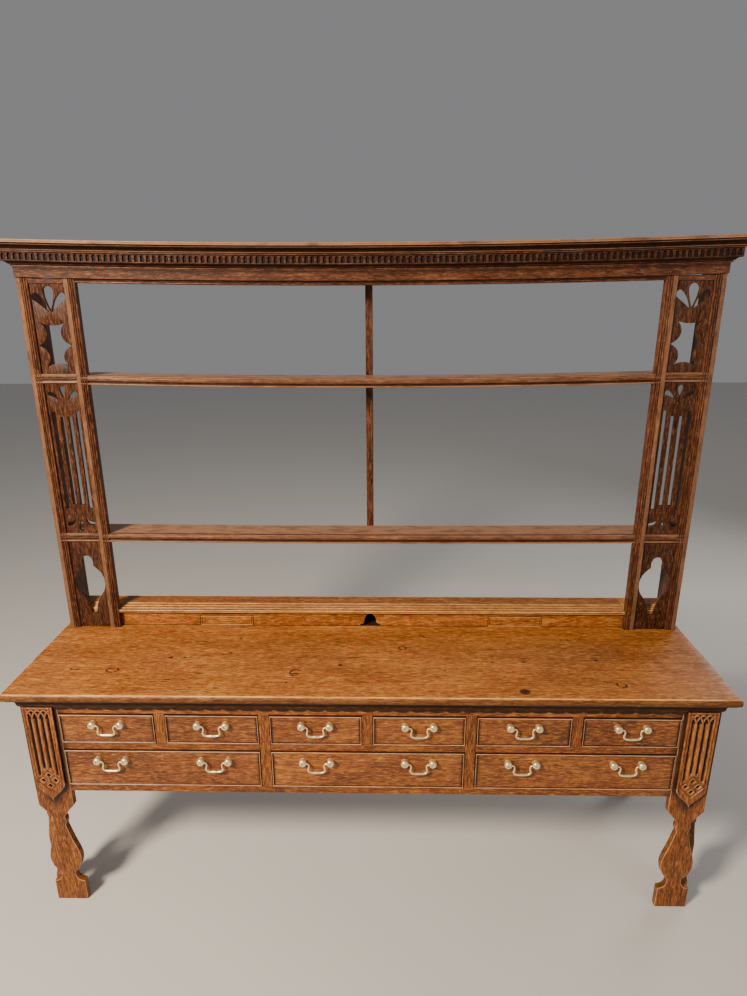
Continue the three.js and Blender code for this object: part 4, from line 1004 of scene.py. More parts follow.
def shieldDepth(x, z, foot, top, s, look):
    # How deep the face is sunk, its painted shade and its painted highlight: flutes between ribs, which above the
    # spring line part into arcs of crossing arches; the flutes end in points around the ring of diamonds. Clear is
    # the distance from the nearest of all these bounds.
    pitch, rise, bandFoot = s["pitch"], z - (top - s["archSpring"]), top - s["topBand"]
    rim = 2 * pitch - s["rimHalf"]
    fromRib = np.abs(x[..., None] - pitch * np.array([-1.0, 0.0, 1.0])).min(-1)
    toRim = np.where(np.abs(x) > rim, -1.0, np.abs(np.abs(x) - rim))
    side = np.minimum(fromRib - s["ribHalf"], toRim)
    toArc = np.minimum(toArches(x, rise, s), toRim)
    fade = np.clip(rise / s["springFade"], 0, 1)
    clear = np.where(rise > 0, np.minimum(toArc, side + fade * s["springDrop"]), side)
    clear = np.minimum(clear, bandFoot - z)
    middle = (np.floor(x / pitch) + 0.5) * pitch
    low = foot + np.where(np.abs(middle) > pitch, s["outerFoot"], s["innerFoot"])
    clear = np.minimum(clear, (z - low - np.abs(x - middle) * s["footSlope"]) * s["footShare"])
    t = np.clip(clear / (pitch / 2 - s["ribHalf"]), 0, 1)
    depth = s["deep"] * (1 - (1 - t) ** s["hollow"])
    shade = np.where(rise > 0, np.clip(clear / look["archShade"], 0, 1), t ** look["fluteShade"])
    onRib = (rise < 0) & (np.abs(x) < 1.5 * pitch) & (z > low)
    roundness = np.clip(fromRib / s["ribHalf"], 0, 1) ** 2
    depth = depth + onRib * s["ribRound"] * roundness
    light = look["ribLight"] * onRib * (1 - roundness)
    up = z - foot - s["diamondRise"]
    away = toDiamonds(x, up, s)
    inHole = np.clip((s["diamondHalf"] - away) / s["diamondWall"], 0, 1)
    depth = np.maximum(depth, s["diamondDeep"] * inHole)
    shade = np.maximum(shade, inHole)
    toFrame = away - s["diamondHalf"] - s["frame"]
    around = np.abs(x) + np.abs(up) < s["diamondSpread"] + s["diamondHalf"] + s["valleyReach"]
    valley = around * np.clip(toFrame / s["frameWall"], 0, 1)
    depth = np.maximum(depth, s["frameDeep"] * valley)
    light = np.maximum(light, look["frameLight"] * ((toFrame < 0) & (shade < look["frameShade"])))
    onArch = (rise > 0) & (clear < look["archTop"]) & (np.abs(x) < rim) & (z < bandFoot)
    light = np.maximum(light, look["archLight"] * onArch)
    groove = np.clip(1 - np.abs(np.abs(x) - rim - s["grooveAt"]) / s["grooveHalf"], 0, 1)
    depth = np.maximum(depth, s["grooveDeep"] * groove)
    # Painted shade in the valleys around the diamonds and in the groove beside the rim.
    paintedShading = np.maximum(look["valleyShade"] * valley, look["grooveShade"] * groove)
    return depth, np.maximum(shade, paintedShading), light


def makeShields(s, look):
    # A grid over the face, sunk by the carving, with a rounded border carried back to the rear face. Wear and
    # painted shading is how far a place stands above its four neighbours, plus the painted highlight and the rim,
    # minus the painted shade.
    for word in ("left", "right"):
        low, high = nodeCorners(f"gothic_shield_{word}")
        half, middle = (high[0] - low[0]) / 2, (high[0] + low[0]) / 2
        z = np.linspace(low[2], high[2], int((high[2] - low[2]) / s["step"]))
        share = np.linspace(-1, 1, int(2 * half / s["step"]) | 1)
        width = shieldHalf(z, low[2], half, s)
        x = share * width[:, None]
        gridZ = np.broadcast_to(z[:, None], x.shape)
        depth, shade, light = shieldDepth(x, gridZ, low[2], high[2], s, look)
        toSide = (1 - np.abs(share)) * width[:, None]
        rounding = np.clip(1 - np.minimum(toSide, high[2] - gridZ) / s["edge"], 0, 1)
        depth = np.maximum(depth, s["edge"] * (1 - np.sqrt(1 - rounding ** 2)))
        face = np.stack([middle + x, low[1] + depth, gridZ], -1)
        rear = np.stack([middle + x, np.full_like(x, high[1]), gridZ], -1)
        rows, columns = x.shape
        size = rows * columns
        border = borderOf(np.arange(size).reshape(rows, columns))
        cells = gridFaces(rows, columns, False)
        band = np.stack([border, border + size, np.roll(border, -1) + size, np.roll(border, -1)], -1)
        faces = [cells, cells[:, ::-1] + size, band]
        if not agreeing(faces):
            faces[2] = band[:, ::-1]
        around = sum(np.roll(depth, k, axis) for axis in (0, 1) for k in (1, -1)) / 4
        proud = np.clip((around - depth) / look["proudDepth"], -1, 1)
        # A pale rim along the edges of the pointed foot, painted as a highlight.
        rim = np.clip(look["rimFrom"] - toSide / look["rimWidth"], 0, 1) * (gridZ < low[2] + s["point"])
        wear = proud * look["proudShare"] + light + look["rimShare"] * rim - shade * look["shadeShare"]
        # The rear face is painted dark, so that the shield's sides read as shaded.
        wear = np.concatenate([np.clip(wear, -1, 1).ravel(), np.full(size, -1.0)])
        made = skin(np.concatenate([face.reshape(-1, 3), rear.reshape(-1, 3)]), faces, "z", wear)
        makePiece(f"gothic_shield_{word}_plate", toned([made], s["tone"]), "base_oak",
                  [f"gothic_shield_{word}"], smoothAngle=50.0)


makeShields(shieldShape, shieldLook)
print("shields made")


# Drawers, and the handles on them

drawerShape = {
    "front": 0.020, "bead": 0.004, "beadProud": 0.003, "quirk": 0.0005, "wall": 0.009, "floor": 0.008,
    # pale sets how strong the painted highlight along the level beads is.
    "sideGap": 0.0015, "topGap": 0.004, "grimeAndShadeReach": 0.016, "cornerRun": 0.005, "pale": 1.8, "worn": 0.0008,
}
# Wear and painted shading on a front, along its side, on the bead, and on the field, for the level and the upright
# beads: the side in the gap is painted dark for its shade, the level beads carry a painted highlight, and the
# upright beads and the edges of the field are painted with shade and grime.
frontLook = {
    "chamfer": 0.0006, "beadFoot": 0.001, "fieldShares": (0.15, 0.4, 1.0), "side": [-0.9, -0.9, -0.9],
    "beadShade": 0.85, "level": (1.0, [-0.9, -0.5, -0.2, -0.1, 0]),
    "upright": (0.75, [-0.95, -0.9, -0.5, -0.25, 0]), "uprightShares": [0.5, 0, 0, 0.5, 1, 1],
}


def drawerFront(x0, x1, z0, z1, s, faceY=carcaseY):
    # Rectangles inset from the edge: the side of the front, the half-round bead, a quirk, then the field.
    # The level beads are painted pale on top as a highlight; the upright ones are painted dark, and painted shade
    # lies on the ends of the field.
    look, bead, quirk, run = frontLook, s["bead"], s["quirk"], s["cornerRun"]
    side = chain((look["chamfer"], -s["front"]), (0, -s["front"] + look["chamfer"]), (0, -look["beadFoot"]))
    roll = arc((bead / 2, 0), (bead / 2, s["beadProud"]), 180, 0, 9)
    inner = chain((bead + quirk, -quirk), (bead + 2 * quirk, 0),
                  [(bead + share * s["grimeAndShadeReach"], 0) for share in look["fieldShares"]])
    deep, out = np.concatenate([side, roll, inner]).T
    left, right, foot, top = x0 + deep, x1 - deep, z0 + deep, z1 - deep
    around = [(left, foot), (left + run, foot), (right - run, foot), (right, foot), (right, foot + run),
              (right, top - run), (right, top), (right - run, top), (left + run, top), (left, top),
              (left, top - run), (left, foot + run)]
    rings = np.stack([np.stack([x, faceY - out, z], -1) for x, z in around], 1)
    swell = np.sin(np.linspace(0, math.pi, len(roll)))
    level, upright = (
        np.concatenate([look["side"], share * s["pale"] * swell ** 2 - look["beadShade"], field])[:, None]
        for share, field in (look["level"], look["upright"])
    )
    share = np.array(look["uprightShares"] * 2)
    return tube(rings, "x", level * (1 - share) + upright * share)


def drawerBox(low, high, wall, floor):
    # Two sides, a back and a bottom, each a board of its own.
    (x0, y0, z0), (x1, y1, z1) = low, high
    return [
        boxSkin((x0, y0, z0), (x0 + wall, y1, z1), "y"),
        boxSkin((x1 - wall, y0, z0), (x1, y1, z1), "y"),
        boxSkin((x0 + wall, y1 - wall, z0), (x1 - wall, y1, z1)),
        boxSkin((x0 + wall, y0, z0), (x1 - wall, y1 - wall, z0 + floor)),
    ]


roseShape = {
    "profile": [(0, -0.001), (0.0106, -0.001), (0.0112, 0.0003), (0.0112, 0.0012), (0.0104, 0.0022),
                (0.0108, 0.0036), (0.0119, 0.0056), (0.0125, 0.0080), (0.0126, 0.0104), (0.0121, 0.0132),
                (0.0110, 0.0156), (0.0093, 0.0174), (0.0074, 0.0183), (0.0058, 0.0186), (0.0048, 0.0183),
                (0.0044, 0.0164), (0.0034, 0.0156), (0.0024, 0.0166), (0, 0.0172)],
}
bailShape = {
    "bore": 0.088, "drop": 0.034, "pin": 0.006, "neckRadius": 0.0023, "armRadius": 0.0031,
    "barRadius": 0.0040,
    "route": [(0.86, 0.0), (0.70, -0.01), (0.59, -0.08), (0.545, -0.23), (0.56, -0.42), (0.60, -0.60),
              (0.595, -0.78), (0.50, -0.93), (0.28, -1.0)],
    "sides": 14, "steps": 5, "armFrom": 0.2, "armOver": 0.5, "barHalf": 0.6, "barFrom": 0.5, "pinFrom": 0.9,
    "pinSwell": 1.15, "leastTip": 0.12,
}


def bailSkin(pivot, s):
    # A round section carried along the bail, thin at the neck and swelling to the middle of the bar;
    # its ends are closed by rings that shrink like a ball's.
    half, drop = s["bore"] / 2, s["drop"]
    right = [(half + s["pin"], 0.0), (half, 0.0), *((out * half, down * drop) for out, down in s["route"])]
    path = smoothLine([*right, (0.0, -drop), *((-x, z) for x, z in right[::-1])], s["steps"])
    along = np.gradient(path, axis=0)
    along /= np.linalg.norm(along, axis=1, keepdims=True)
    across = np.stack([-along[:, 1], along[:, 0]], 1)
    out, down = np.abs(path[:, 0]), -path[:, 1] / drop
    armShare = np.clip((down - s["armFrom"]) / s["armOver"], 0, 1)
    barShare = np.clip(1 - out / (s["barHalf"] * half), 0, 1) * (down > s["barFrom"])
    radius = s["neckRadius"] + (s["armRadius"] - s["neckRadius"]) * armShare
    radius = radius + (s["barRadius"] - s["armRadius"]) * barShare
    radius = np.where(out > half * s["pinFrom"], s["neckRadius"] * s["pinSwell"], radius)
    turn = np.linspace(0, math.pi / 2, 4)[:-1]
    tip, shrink = radius[0], np.maximum(np.sin(turn), s["leastTip"])
    path = np.concatenate([path[0] - along[0] * (tip * np.cos(turn))[:, None], path,
                           path[-1] + along[-1] * (tip * np.cos(turn[::-1]))[:, None]])
    across = np.concatenate([np.repeat(across[:1], 3, 0), across, np.repeat(across[-1:], 3, 0)])
    radius = np.concatenate([tip * shrink, radius, tip * shrink[::-1]])
    angle = np.linspace(0, 2 * math.pi, s["sides"], endpoint=False)
    flat = path[:, None] + across[:, None] * (radius[:, None] * np.cos(angle))[..., None]
    y = radius[:, None] * np.sin(angle)
    rings = np.stack([flat[..., 0], y, flat[..., 1]], -1) + np.array(pivot)
    return tube(rings, "x")


def makeDrawers(s):
    # A front and a box for each drawer, and for each of its bails a post half a bore to each side of the
    # pivot and the swan neck between them.
    pivots = {j["child"]: j["pos_m"] for j in frame["joints"] if j["type"] == "hinge"}
    bodies = frame["record"]["behaviour"]["bodies"]
    drawers = [name for name in bodies if "drawer" in name and "gallery" not in name]
    reach, profile = bailShape["bore"] / 2, np.array(roseShape["profile"])
    for name in drawers:
        (x0, _, z0), (x1, y1, z1) = nodeCorners(name)
        front = drawerFront(x0, x1, z0, z1, s)
        makePiece(f"{name}_front", [front], "drawer_oak", [name], name, smoothAngle=30.0)
        low, high = (x0 + s["sideGap"], carcaseY + s["front"], z0), (x1 - s["sideGap"], y1, z1 - s["topGap"])
        boards = drawerBox(low, high, s["wall"], s["floor"])
        makePiece(f"{name}_box", boards, "inner_oak", body=name, soften=s["worn"])
        key = name.replace("_drawer_", "_bail_")
        for bail in [b for b in pivots if b.startswith(key)]:
            x, _, z = pivots[bail]
            posts = [turnedSkin(profile, np.array([x + way * reach, carcaseY, z])) for way in (-1, 1)]
            makePiece(f"{bail}_posts", posts, "handle_brass", body=name, smoothAngle=40.0)
            neck = bailSkin(pivots[bail], bailShape)
            makePiece(f"{bail}_swan_neck", [neck], "handle_brass", [bail], bail, smoothAngle=60.0)


makeDrawers(drawerShape)
print("drawers made")


# Rack

def scaled(shares, corner, size):
    # Points given as shares of a size, from a corner.
    return np.array(corner) + np.array(shares) * size


def rectangle(x0, z0, x1, z1):
    # The four corners, anticlockwise.
    return line((x0, z0), (x1, z0), (x1, z1), (x0, z1))


shelfShape = {
    "edge": 0.029, "board": 0.016, "nose": 0.009, "stripNose": 0.0045, "tone": 1.2, "mullionWorn": 0.003,
    "bead": ((0.35, 0.09), (0.3, 0.09)), "hollow": [(0.62, 0.19), (0.78, 0.27), (0.7, 0.36), (0.45, 0.42)],
    "round": ((0.45, 0.655), (0.45, 0.225)), "fillet": [(0.4, 0.9), (0.25, 0.91)],
}


def shelfEdge(top, rear, nose, s):
    # The moulded edge of a shelf in (y, z), from the underside up: a bead, a quirk, a hollow, the big
    # half-round and the top fillet, all at shares of the nose and of the edge's height.
    corner, size = (rackFace, top - s["edge"]), (nose, s["edge"])
    bead, big = (arc(scaled(s[key][0], corner, size), scaled(s[key][1], (0, 0), size), 270, 90, count)
                 for key, count in (("bead", 7), ("round", 13)))
    fillet = scaled(s["fillet"], corner, size)
    hollow = smoothLine(scaled(s["hollow"], corner, size), 4)
    return chain((rear, corner[1]), bead, hollow, big, fillet, (fillet[-1][0], top), (rear, top))


def makeShelves(s):
    # A board that has sunk in the middle, with a moulded strip along its front between the pilasters.
    for name in ("lower_shelf", "upper_shelf"):
        low, high = nodeCorners(name)
        top, sag, front = high[2], sags[name], pilasterRear + fit
        edge = shelfEdge(top, front, s["nose"], s)
        board = rectangle(front, top - s["board"], high[1], top)
        skins = [alongX(edge, -bayHalf + fit, bayHalf - fit, sag, rackHalf, count=31),
                 alongX(board, low[0], high[0], sag, rackHalf, step=0.02, count=31)]
        makePiece(f"{name}_board", toned(skins, s["tone"]), "rack_oak", [name])


pilasterShape = {
    "reeded": 0.036, "fillet": 0.0145, "reeds": 3, "deep": 0.003, "topStrip": 0.014, "fretSetback": 0.007,
    "reedShare": 0.94, "corner": 0.0012, "quirk": 0.0008, "lastQuirk": 0.0004, "mostWear": 0.1,
    "filletHighlight": 0.4, "filletDepth": 0.0003, "rightShift": 7,
}
friezeFoot = pilasterHead + fit + sagAt(sags["cornice"], rackHalf - pilasterShape["reeded"], rackHalf)


def headAt(x):
    # Where a piece under the frieze ends: just below it as it has sunk.
    return friezeFoot - fit - sagAt(sags["cornice"], x, rackHalf)


def reededSection(x0, s):
    # (x, y) points of a stile: a plain fillet, then half-round reeds with quirks between.
    pitch, filletEnd, bed = (s["reeded"] - s["fillet"]) / s["reeds"], x0 + s["fillet"], rackFace + s["deep"]
    radii = (pitch / 2 * s["reedShare"], -s["deep"])
    reeds = [arc((filletEnd + (k + 0.5) * pitch, bed), radii, 180, 0, 11) for k in range(s["reeds"])]
    return chain((x0, pilasterRear), (x0, rackFace + s["corner"]), (x0 + s["corner"], rackFace),
                 (filletEnd - s["quirk"], rackFace), (filletEnd, rackFace + s["quirk"]), *reeds,
                 (x0 + s["reeded"], bed + s["lastQuirk"]), (x0 + s["reeded"], pilasterRear))


def makePilasters(s):
    # Two stiles, a strip across their reeds at each shelf, and a plain strip under the frieze. All are
    # set out on the left and mirrored for the right.
    left, right = -rackHalf, -bayHalf
    for word in ("left", "right"):
        skins = []
        for x0 in (left, left + (rackHalf - bayHalf) - s["reeded"]):
            section = finer(reededSection(x0, s), fineStep)
            x, y = section.T
            rings = [np.stack([x, y, np.full(len(x), rackFoot)], -1), np.stack([x, y, headAt(x)], -1)]
            # The reeds are rubbed only a little on their ridges and painted with shade in their quirks; the flat
            # fillet is painted pale as a highlight.
            wear = np.minimum(ridges(section), s["mostWear"])
            wear[(y < rackFace + s["filletDepth"]) & (x < x0 + s["fillet"])] = s["filletHighlight"]
            skins.append(tube(rings, "z", wear))
        x0, x1 = left + s["reeded"], left + (rackHalf - bayHalf) - s["reeded"]
        stripRear = rackFace + s["fretSetback"] - fit
        for shelf in ("lower_shelf", "upper_shelf"):
            top = nodeCorners(shelf)[1][2]
            strip = shelfEdge(top, stripRear, shelfShape["stripNose"], shelfShape)
            skins.append(alongX(strip, left + s["fillet"], x1))
            crossing = shelfEdge(top, stripRear, shelfShape["nose"], shelfShape)
            skins.append(alongX(crossing, x1 + s["fillet"], right, sags[shelf], rackHalf, count=5))
        foot = headAt(bayHalf) - s["topStrip"]
        skins.append(boxSkin((x0, rackFace + s["deep"], foot), (x1, stripRear, headAt(x1))))
        if word == "right":
            for made in skins:
                made["points"] = made["points"] * (-1, 1, 1)
                made["faces"] = [block[:, ::-1] for block in made["faces"]]
                made["grain"] = made["grain"] + boardShift * s["rightShift"]
        makePiece(f"pilaster_frame_{word}_stiles", skins, "rack_oak", [f"pilaster_frame_{word}"])


# Places and sizes are shares of a field's half width and height.
fretShape = {
    "edge": 0.0006, "tone": -1.3, "cusps": [(0.62, 0.08), (0.93, 0.32), (0.69, 0.58)],
    "bulges": (0.18, 0.36, 0.40, 0.18, 0.40, 0.36),
    "topFan": {"end": (0.735, 0.57), "tip": (0.08, -0.05), "radius": 0.78, "bow": -0.2, "foot": 0.7,
               "height": 0.274, "round": 0.3},
    "middleFan": {"end": (0.74, 0.36), "tip": (0.27, -0.15), "radius": 0.82, "bow": -0.3, "foot": 0.905,
                  "lowFoot": 0.09, "height": 0.075, "round": 0.17},
    "slots": [(0.25, 0.2, 0.787, 0.0), (0.715, 0.172, 0.82, 0.03)], "slotHalf": 0.115,
    "pear": [(0, 0.16), (0.12, 0.168), (0.2, 0.19), (0.24, 0.24), (0.34, 0.29), (0.6, 0.37),
             (0.84, 0.43), (0.95, 0.5), (0.93, 0.57), (0.78, 0.635), (0.5, 0.69), (0.35, 0.715),
             (0.36, 0.755), (0.3, 0.795), (0.16, 0.825), (0, 0.83)],
}


def petal(end, tip, radius, bow, steps=9):
    # A round end that tapers along a bowed line to a point, slowly at first.
    end, tip = np.array(end), np.array(tip)
    run = tip - end
    across = np.array([-run[1], run[0]]) / np.hypot(*run)
    t = np.arange(1, steps) / steps
    spine = end + run * t[:, None] + across * (4 * bow * t * (1 - t))[:, None]
    reach = across * (radius * (1 - t ** 1.5))[:, None]
    turn = math.atan2(across[1], across[0]) + np.linspace(0, math.pi, 2 * steps)
    head = end + radius * np.stack([np.cos(turn), np.sin(turn)], 1)
    return chain(tip, (spine + reach)[::-1], head, spine - reach)


def spray(half, tipZ, height, fan, up):
    # Three petals whose points meet; up is 1, or -1 for a spray that hangs.
    radius = fan["round"] * half
    end, tip = scaled([fan["end"], fan["tip"]], (0, tipZ), (half, up * height))
    right = petal(end, tip, fan["radius"] * radius, up * fan["bow"] * radius)
    middle = petal((0, tipZ + up * (height - radius)), (0, tipZ), radius, 0)
    return [middle, right, right[::-1] * (-1, 1)]


def bulge(a, b, height, count=12):
    # Points from a up to b on an arc that bulges to its left by height.
    a, b = np.array(a), np.array(b)
    t = np.arange(count)[:, None] / count
    run = b - a
    left = np.array([-run[1], run[0]]) / np.hypot(*run)
    return a + run * t + left * 4 * height * t * (1 - t)


def topFret(half, foot, height, s):
    # A hole with three cusps on each side, which bulges out from cusp to cusp, and a fan of petals above it.
    right, fan = scaled(s["cusps"], (0, foot), (half, height)), s["topFan"]
    left = right * (-1, 1)
    cusps = [left[0], *right, left[2], left[1], left[0]]
    cutout = [bulge(a, b, bow * half) for a, b, bow in zip(cusps, cusps[1:], s["bulges"])]
    fanFoot = foot + fan["foot"] * height
    return [np.concatenate(cutout), *spray(half, fanFoot, fan["height"] * height, fan, 1)]


def middleFret(half, foot, height, s):
    # Four upright slots, the outer ones with slanting ends, and a fan of petals above and below them.
    holes, fan = [], s["middleFan"]
    for place, low, high, slant in s["slots"]:
        for side in (-1, 1):
            x0, x1 = (side * place * half + way * s["slotHalf"] * half for way in (-1, 1))
            z0, z1, tilt = foot + low * height, foot + high * height, side * slant * half
            holes.append(line((x0, z0 + tilt), (x1, z0 - tilt), (x1, z1 + tilt), (x0, z1 - tilt)))
    for share, up in ((fan["foot"], 1), (fan["lowFoot"], -1)):
        holes += spray(half, foot + share * height, fan["height"] * height, fan, up)
    return holes


def bottomFret(half, foot, height, s):
    # One hole, a pear with a foot and a knob: a smooth line up its right side, mirrored.
    right = smoothLine(scaled(s["pear"], (0, foot), (half, height)), 3)
    return [chain(right, right[::-1] * (-1, 1))[:-1]]


def makeFretBoards(s):
    # A board pierced in the three fields between the working top, the shelves and the frieze's strip.
    lowerTop, upperTop = nodeCorners("lower_shelf")[1][2], nodeCorners("upper_shelf")[1][2]
    edge, head = shelfShape["edge"], headAt(bayHalf) - pilasterShape["topStrip"]
    for word in ("left", "right"):
        low, high = nodeCorners(f"fret_board_{word}")
        middle, half = (low[0] + high[0]) / 2, (high[0] - low[0]) / 2 + fit
        fields = [*bottomFret(half, rackFoot, lowerTop - edge - rackFoot, s),
                  *middleFret(half, lowerTop, upperTop - edge - lowerTop, s),
                  *topFret(half, upperTop, head - upperTop, s)]
        outline = rectangle(low[0], low[2], high[0], high[2])
        holes = [hole + (middle, 0) for hole in fields]
        board = plateSkin(outline, holes, low[1], high[1], s["edge"], steps=2)
        makePiece(f"fret_board_{word}_panel", toned([board], s["tone"]), "rack_oak", [f"fret_board_{word}"])


# Places are shares of how proud the cornice stands and of its height.
corniceShape = {
    "proud": 0.062, "height": 0.075, "back": -0.015, "band": 0.3, "foot": [(0.06, 0)],
    "bead": ((0.085, 0.032), (0.03, 0.03)),
    "smallOgee": [(0.1, 0.075), (0.16, 0.09), (0.2, 0.13), (0.25, 0.17), (0.3, 0.18)],
    "fillets": [(0.3, 0.2), (0.3, 0.56), (0.5, 0.56), (0.5, 0.635), (0.53, 0.635)],
    "bigOgee": [(0.53, 0.645), (0.555, 0.70), (0.64, 0.755), (0.77, 0.785), (0.86, 0.82), (0.905, 0.87)],
    "top": [(0.905, 0.885), (1, 0.885), (1, 0.985), (0.99, 1)], "tone": 0.4, "topShading": -0.45,
    "bandShading": 0.45, "topFrom": 0.88, "rubbedAndHighlightFrom": 0.6, "rubbedAndHighlightOver": 0.35, "wearShare": 0.5,
}


def makeCornice(s):
    # (out, z) section: a bead and a small ogee, the band behind the dentils, a fillet, a big ogee and the top
    # fillet. All but the top fillet is painted darker, for the shade under the overhang; the top fillet is painted
    # pale as a highlight, and the ridges above the band are rubbed pale with a painted highlight.
    top, back = nodeCorners("cornice")[1][2], s["back"]
    foot, height, size = top - s["height"], s["height"], (s["proud"], s["height"])
    keys = ("foot", "smallOgee", "fillets", "bigOgee", "top")
    part = {key: scaled(s[key], (0, foot), size) for key in keys}
    bead = arc(scaled(s["bead"][0], (0, foot), size), scaled(s["bead"][1], (0, 0), size), -90, 90, 6)
    section = chain((back, foot), part["foot"], bead, smoothLine(part["smallOgee"], 4), part["fillets"],
                    smoothLine(part["bigOgee"], 5), part["top"], (back, foot + height))
    runs = mitredRuns(section, rackHalf, rackFace, rackRear, sags["cornice"])
    for run in toned(runs, s["tone"]):
        x, z = run["points"][:, 0], run["points"][:, 2]
        up = (z + sagAt(sags["cornice"], x, rackHalf) - foot) / height
        paintedShading = np.where(up > s["topFrom"], s["topShading"], s["bandShading"])
        rubbedAndHighlight = (run["wear"] > s["rubbedAndHighlightOver"]) & (up > s["rubbedAndHighlightFrom"])
        run["wear"] = np.where(rubbedAndHighlight, 1.0, s["wearShare"] * run["wear"] - paintedShading)
    makePiece("cornice_runs", runs, "rack_oak", ["cornice"])


friezeShape = {
    "proud": 0.006, "corner": 0.001, "levels": (0.3, 0.55), "tongue": 0.014, "bead": (0.0022, 0.0032),
    "overBead": [(0.003, 0.0064), (0.0042, 0.0075)], "tongueRear": 0.001, "tongueRise": 0.002,
    "wearShare": 0.3, "paintedShading": 0.5, "shadingSlope": 2.2, "tongueDarkening": 0.2,
}


def makeFrieze(s):
    # A board, and a tongue with a bead that hangs below it between the pilasters. The board is painted darker with
    # the height above its foot, for the shade under the cornice; the tongue is a little darker all over.
    front, top, foot, corner = rackFace - s["proud"], nodeCorners("frieze")[1][2], friezeFoot, s["corner"]
    height, rear = top - foot, pilasterRear - s["tongueRear"]
    upper = chain((front, foot + corner), (front + corner, foot), (pilasterRear, foot), (pilasterRear, top),
                  (front, top), [(front, top - share * height) for share in s["levels"]])
    low, above = (rackFace, foot - s["tongue"]), foot + s["tongueRise"]
    bead = arc(scaled(s["bead"], low, 1), s["bead"], 270, 90, 8)
    overBead = scaled(s["overBead"], low, 1)
    lower = chain((rear, low[1]), bead, overBead, (overBead[-1][0], above), (rear, above))
    board = alongX(upper, -rackHalf, rackHalf, sags["cornice"], rackHalf, count=41)
    tongue = alongX(lower, -bayHalf + fit, bayHalf - fit, sags["cornice"], rackHalf, count=41)
    z = board["points"][:, 2] + sagAt(sags["cornice"], board["points"][:, 0], rackHalf)
    paintedShading = np.clip(s["shadingSlope"] * (z - foot) / height - 1, 0, 1)
    board["wear"] = s["wearShare"] * board["wear"] - s["paintedShading"] * paintedShading
    tongue["wear"] = s["wearShare"] * tongue["wear"] - s["tongueDarkening"]
    makePiece("frieze_board", [board, tongue], "rack_oak", ["frieze"])


dentilShape = {
    "pitch": 0.0185, "slot": 0.0112, "slotHeight": 0.020, "height": 0.026, "thick": 0.007, "slotDeep": 0.0046,
    "edge": 0.0006, "wallShade": -0.9, "paintedShading": 0.32, "tone": -0.2,
}


def makeDentils(s, band):
    # A strip with a comb of slots: plates pierced by arched slots in front of a thin backing strip.
    inner = band + fit
    outer = inner + s["thick"]
    deep, pitch, foot = s["slotDeep"], s["pitch"], nodeCorners("dentil_strip")[1][2] - s["height"]
    backing = rectangle(inner, foot, outer - deep, foot + s["height"])
    skins = mitredRuns(backing, rackHalf, rackFace, rackRear, sags["cornice"], step=0.02)
    # The backing strip behind the slots is painted dark, for the shade in them.
    for run in skins:
        run["wear"] = np.full(len(run["points"]), -1.0)
    radius = s["slot"] / 2
    slotLow, slotHigh = (s["height"] - s["slotHeight"]) / 2, (s["height"] + s["slotHeight"]) / 2
    head = arc((0, slotHigh - radius), (radius, radius), 0, 180, 7)
    slot = chain((-radius, slotLow), (radius, slotLow), head)
    reach = rackHalf + outer
    count = int((reach - s["slot"]) / pitch)
    x, start = np.linspace(-reach, reach, 61), rackFace - outer
    outline = chain(np.stack([x, 0 * x], 1), np.stack([x[::-1], 0 * x + s["height"]], 1))
    holes = [slot + (k * pitch, 0) for k in range(-count, count + 1)]
    face = plateSkin(outline, holes, start, start + deep, s["edge"], "x", steps=2, walls=s["wallShade"])
    face["points"][:, 2] += foot - sagAt(sags["cornice"], face["points"][:, 0], rackHalf)
    # The face of the comb is painted darker, in its wear and in its tone, for the shade under the cornice; the
    # walls of the slots are painted dark for their shade.
    face["wear"] = face["wear"] - s["paintedShading"]
    skins += toned([face], s["tone"])
    outline = rectangle(start + deep, 0, rackRear, s["height"])
    ends = int((rackRear - rackFace - pitch) / pitch)
    holes = [slot + (rackFace + (k + 0.5) * pitch, 0) for k in range(ends)]
    for side in (-1, 1):
        made = plateSkin(outline, holes, side * reach, side * (reach - deep), s["edge"] * -side, "y", steps=2,
                         depthAxis=0, walls=s["wallShade"])
        made["points"][:, 2] += foot
        skins.append(made)
    makePiece("dentil_strip_comb", skins, "rack_oak", ["dentil_strip"])


galleryShape = {
    "height": 0.058, "depth": 0.080, "wall": 0.011, "capRise": 0.021, "capSlope": 0.034, "nose": 0.016,
    "capReeds": 4, "capCorner": 0.0012, "lipEnd": 0.001, "reed": (0.0004, 0.0008, 0.0012),
    "reedQuirk": (0.0006, 0.0014), "capHighlight": (0.4, 0.8, -0.25), "edge": 0.0009, "arris": 0.8,
    "archReach": 0.004, "drawerGap": 0.0020, "drawerWall": 0.006, "shadeLining": 0.001, "shadowLine": 0.0015,
    "shadowLineProud": 0.0003,
    # The gallery drawers' beads carry the same painted highlight, and their field edges the same painted shade.
    "drawer": {"front": 0.0104, "bead": 0.0042, "beadProud": 0.0007, "quirk": 0.0005, "grimeAndShadeReach": 0.006,
               "cornerRun": 0.004, "pale": 1.55},
    "archHalf": 0.040, "archHeight": 0.051, "archBends": (5, 6, 9),
    "arch": [(0.040, 0), (0.0396, 0.12), (0.0296, 0.17), (0.022, 0.2), (0.022, 0.42), (0.02112, 0.84),
             (0, 1)],
}


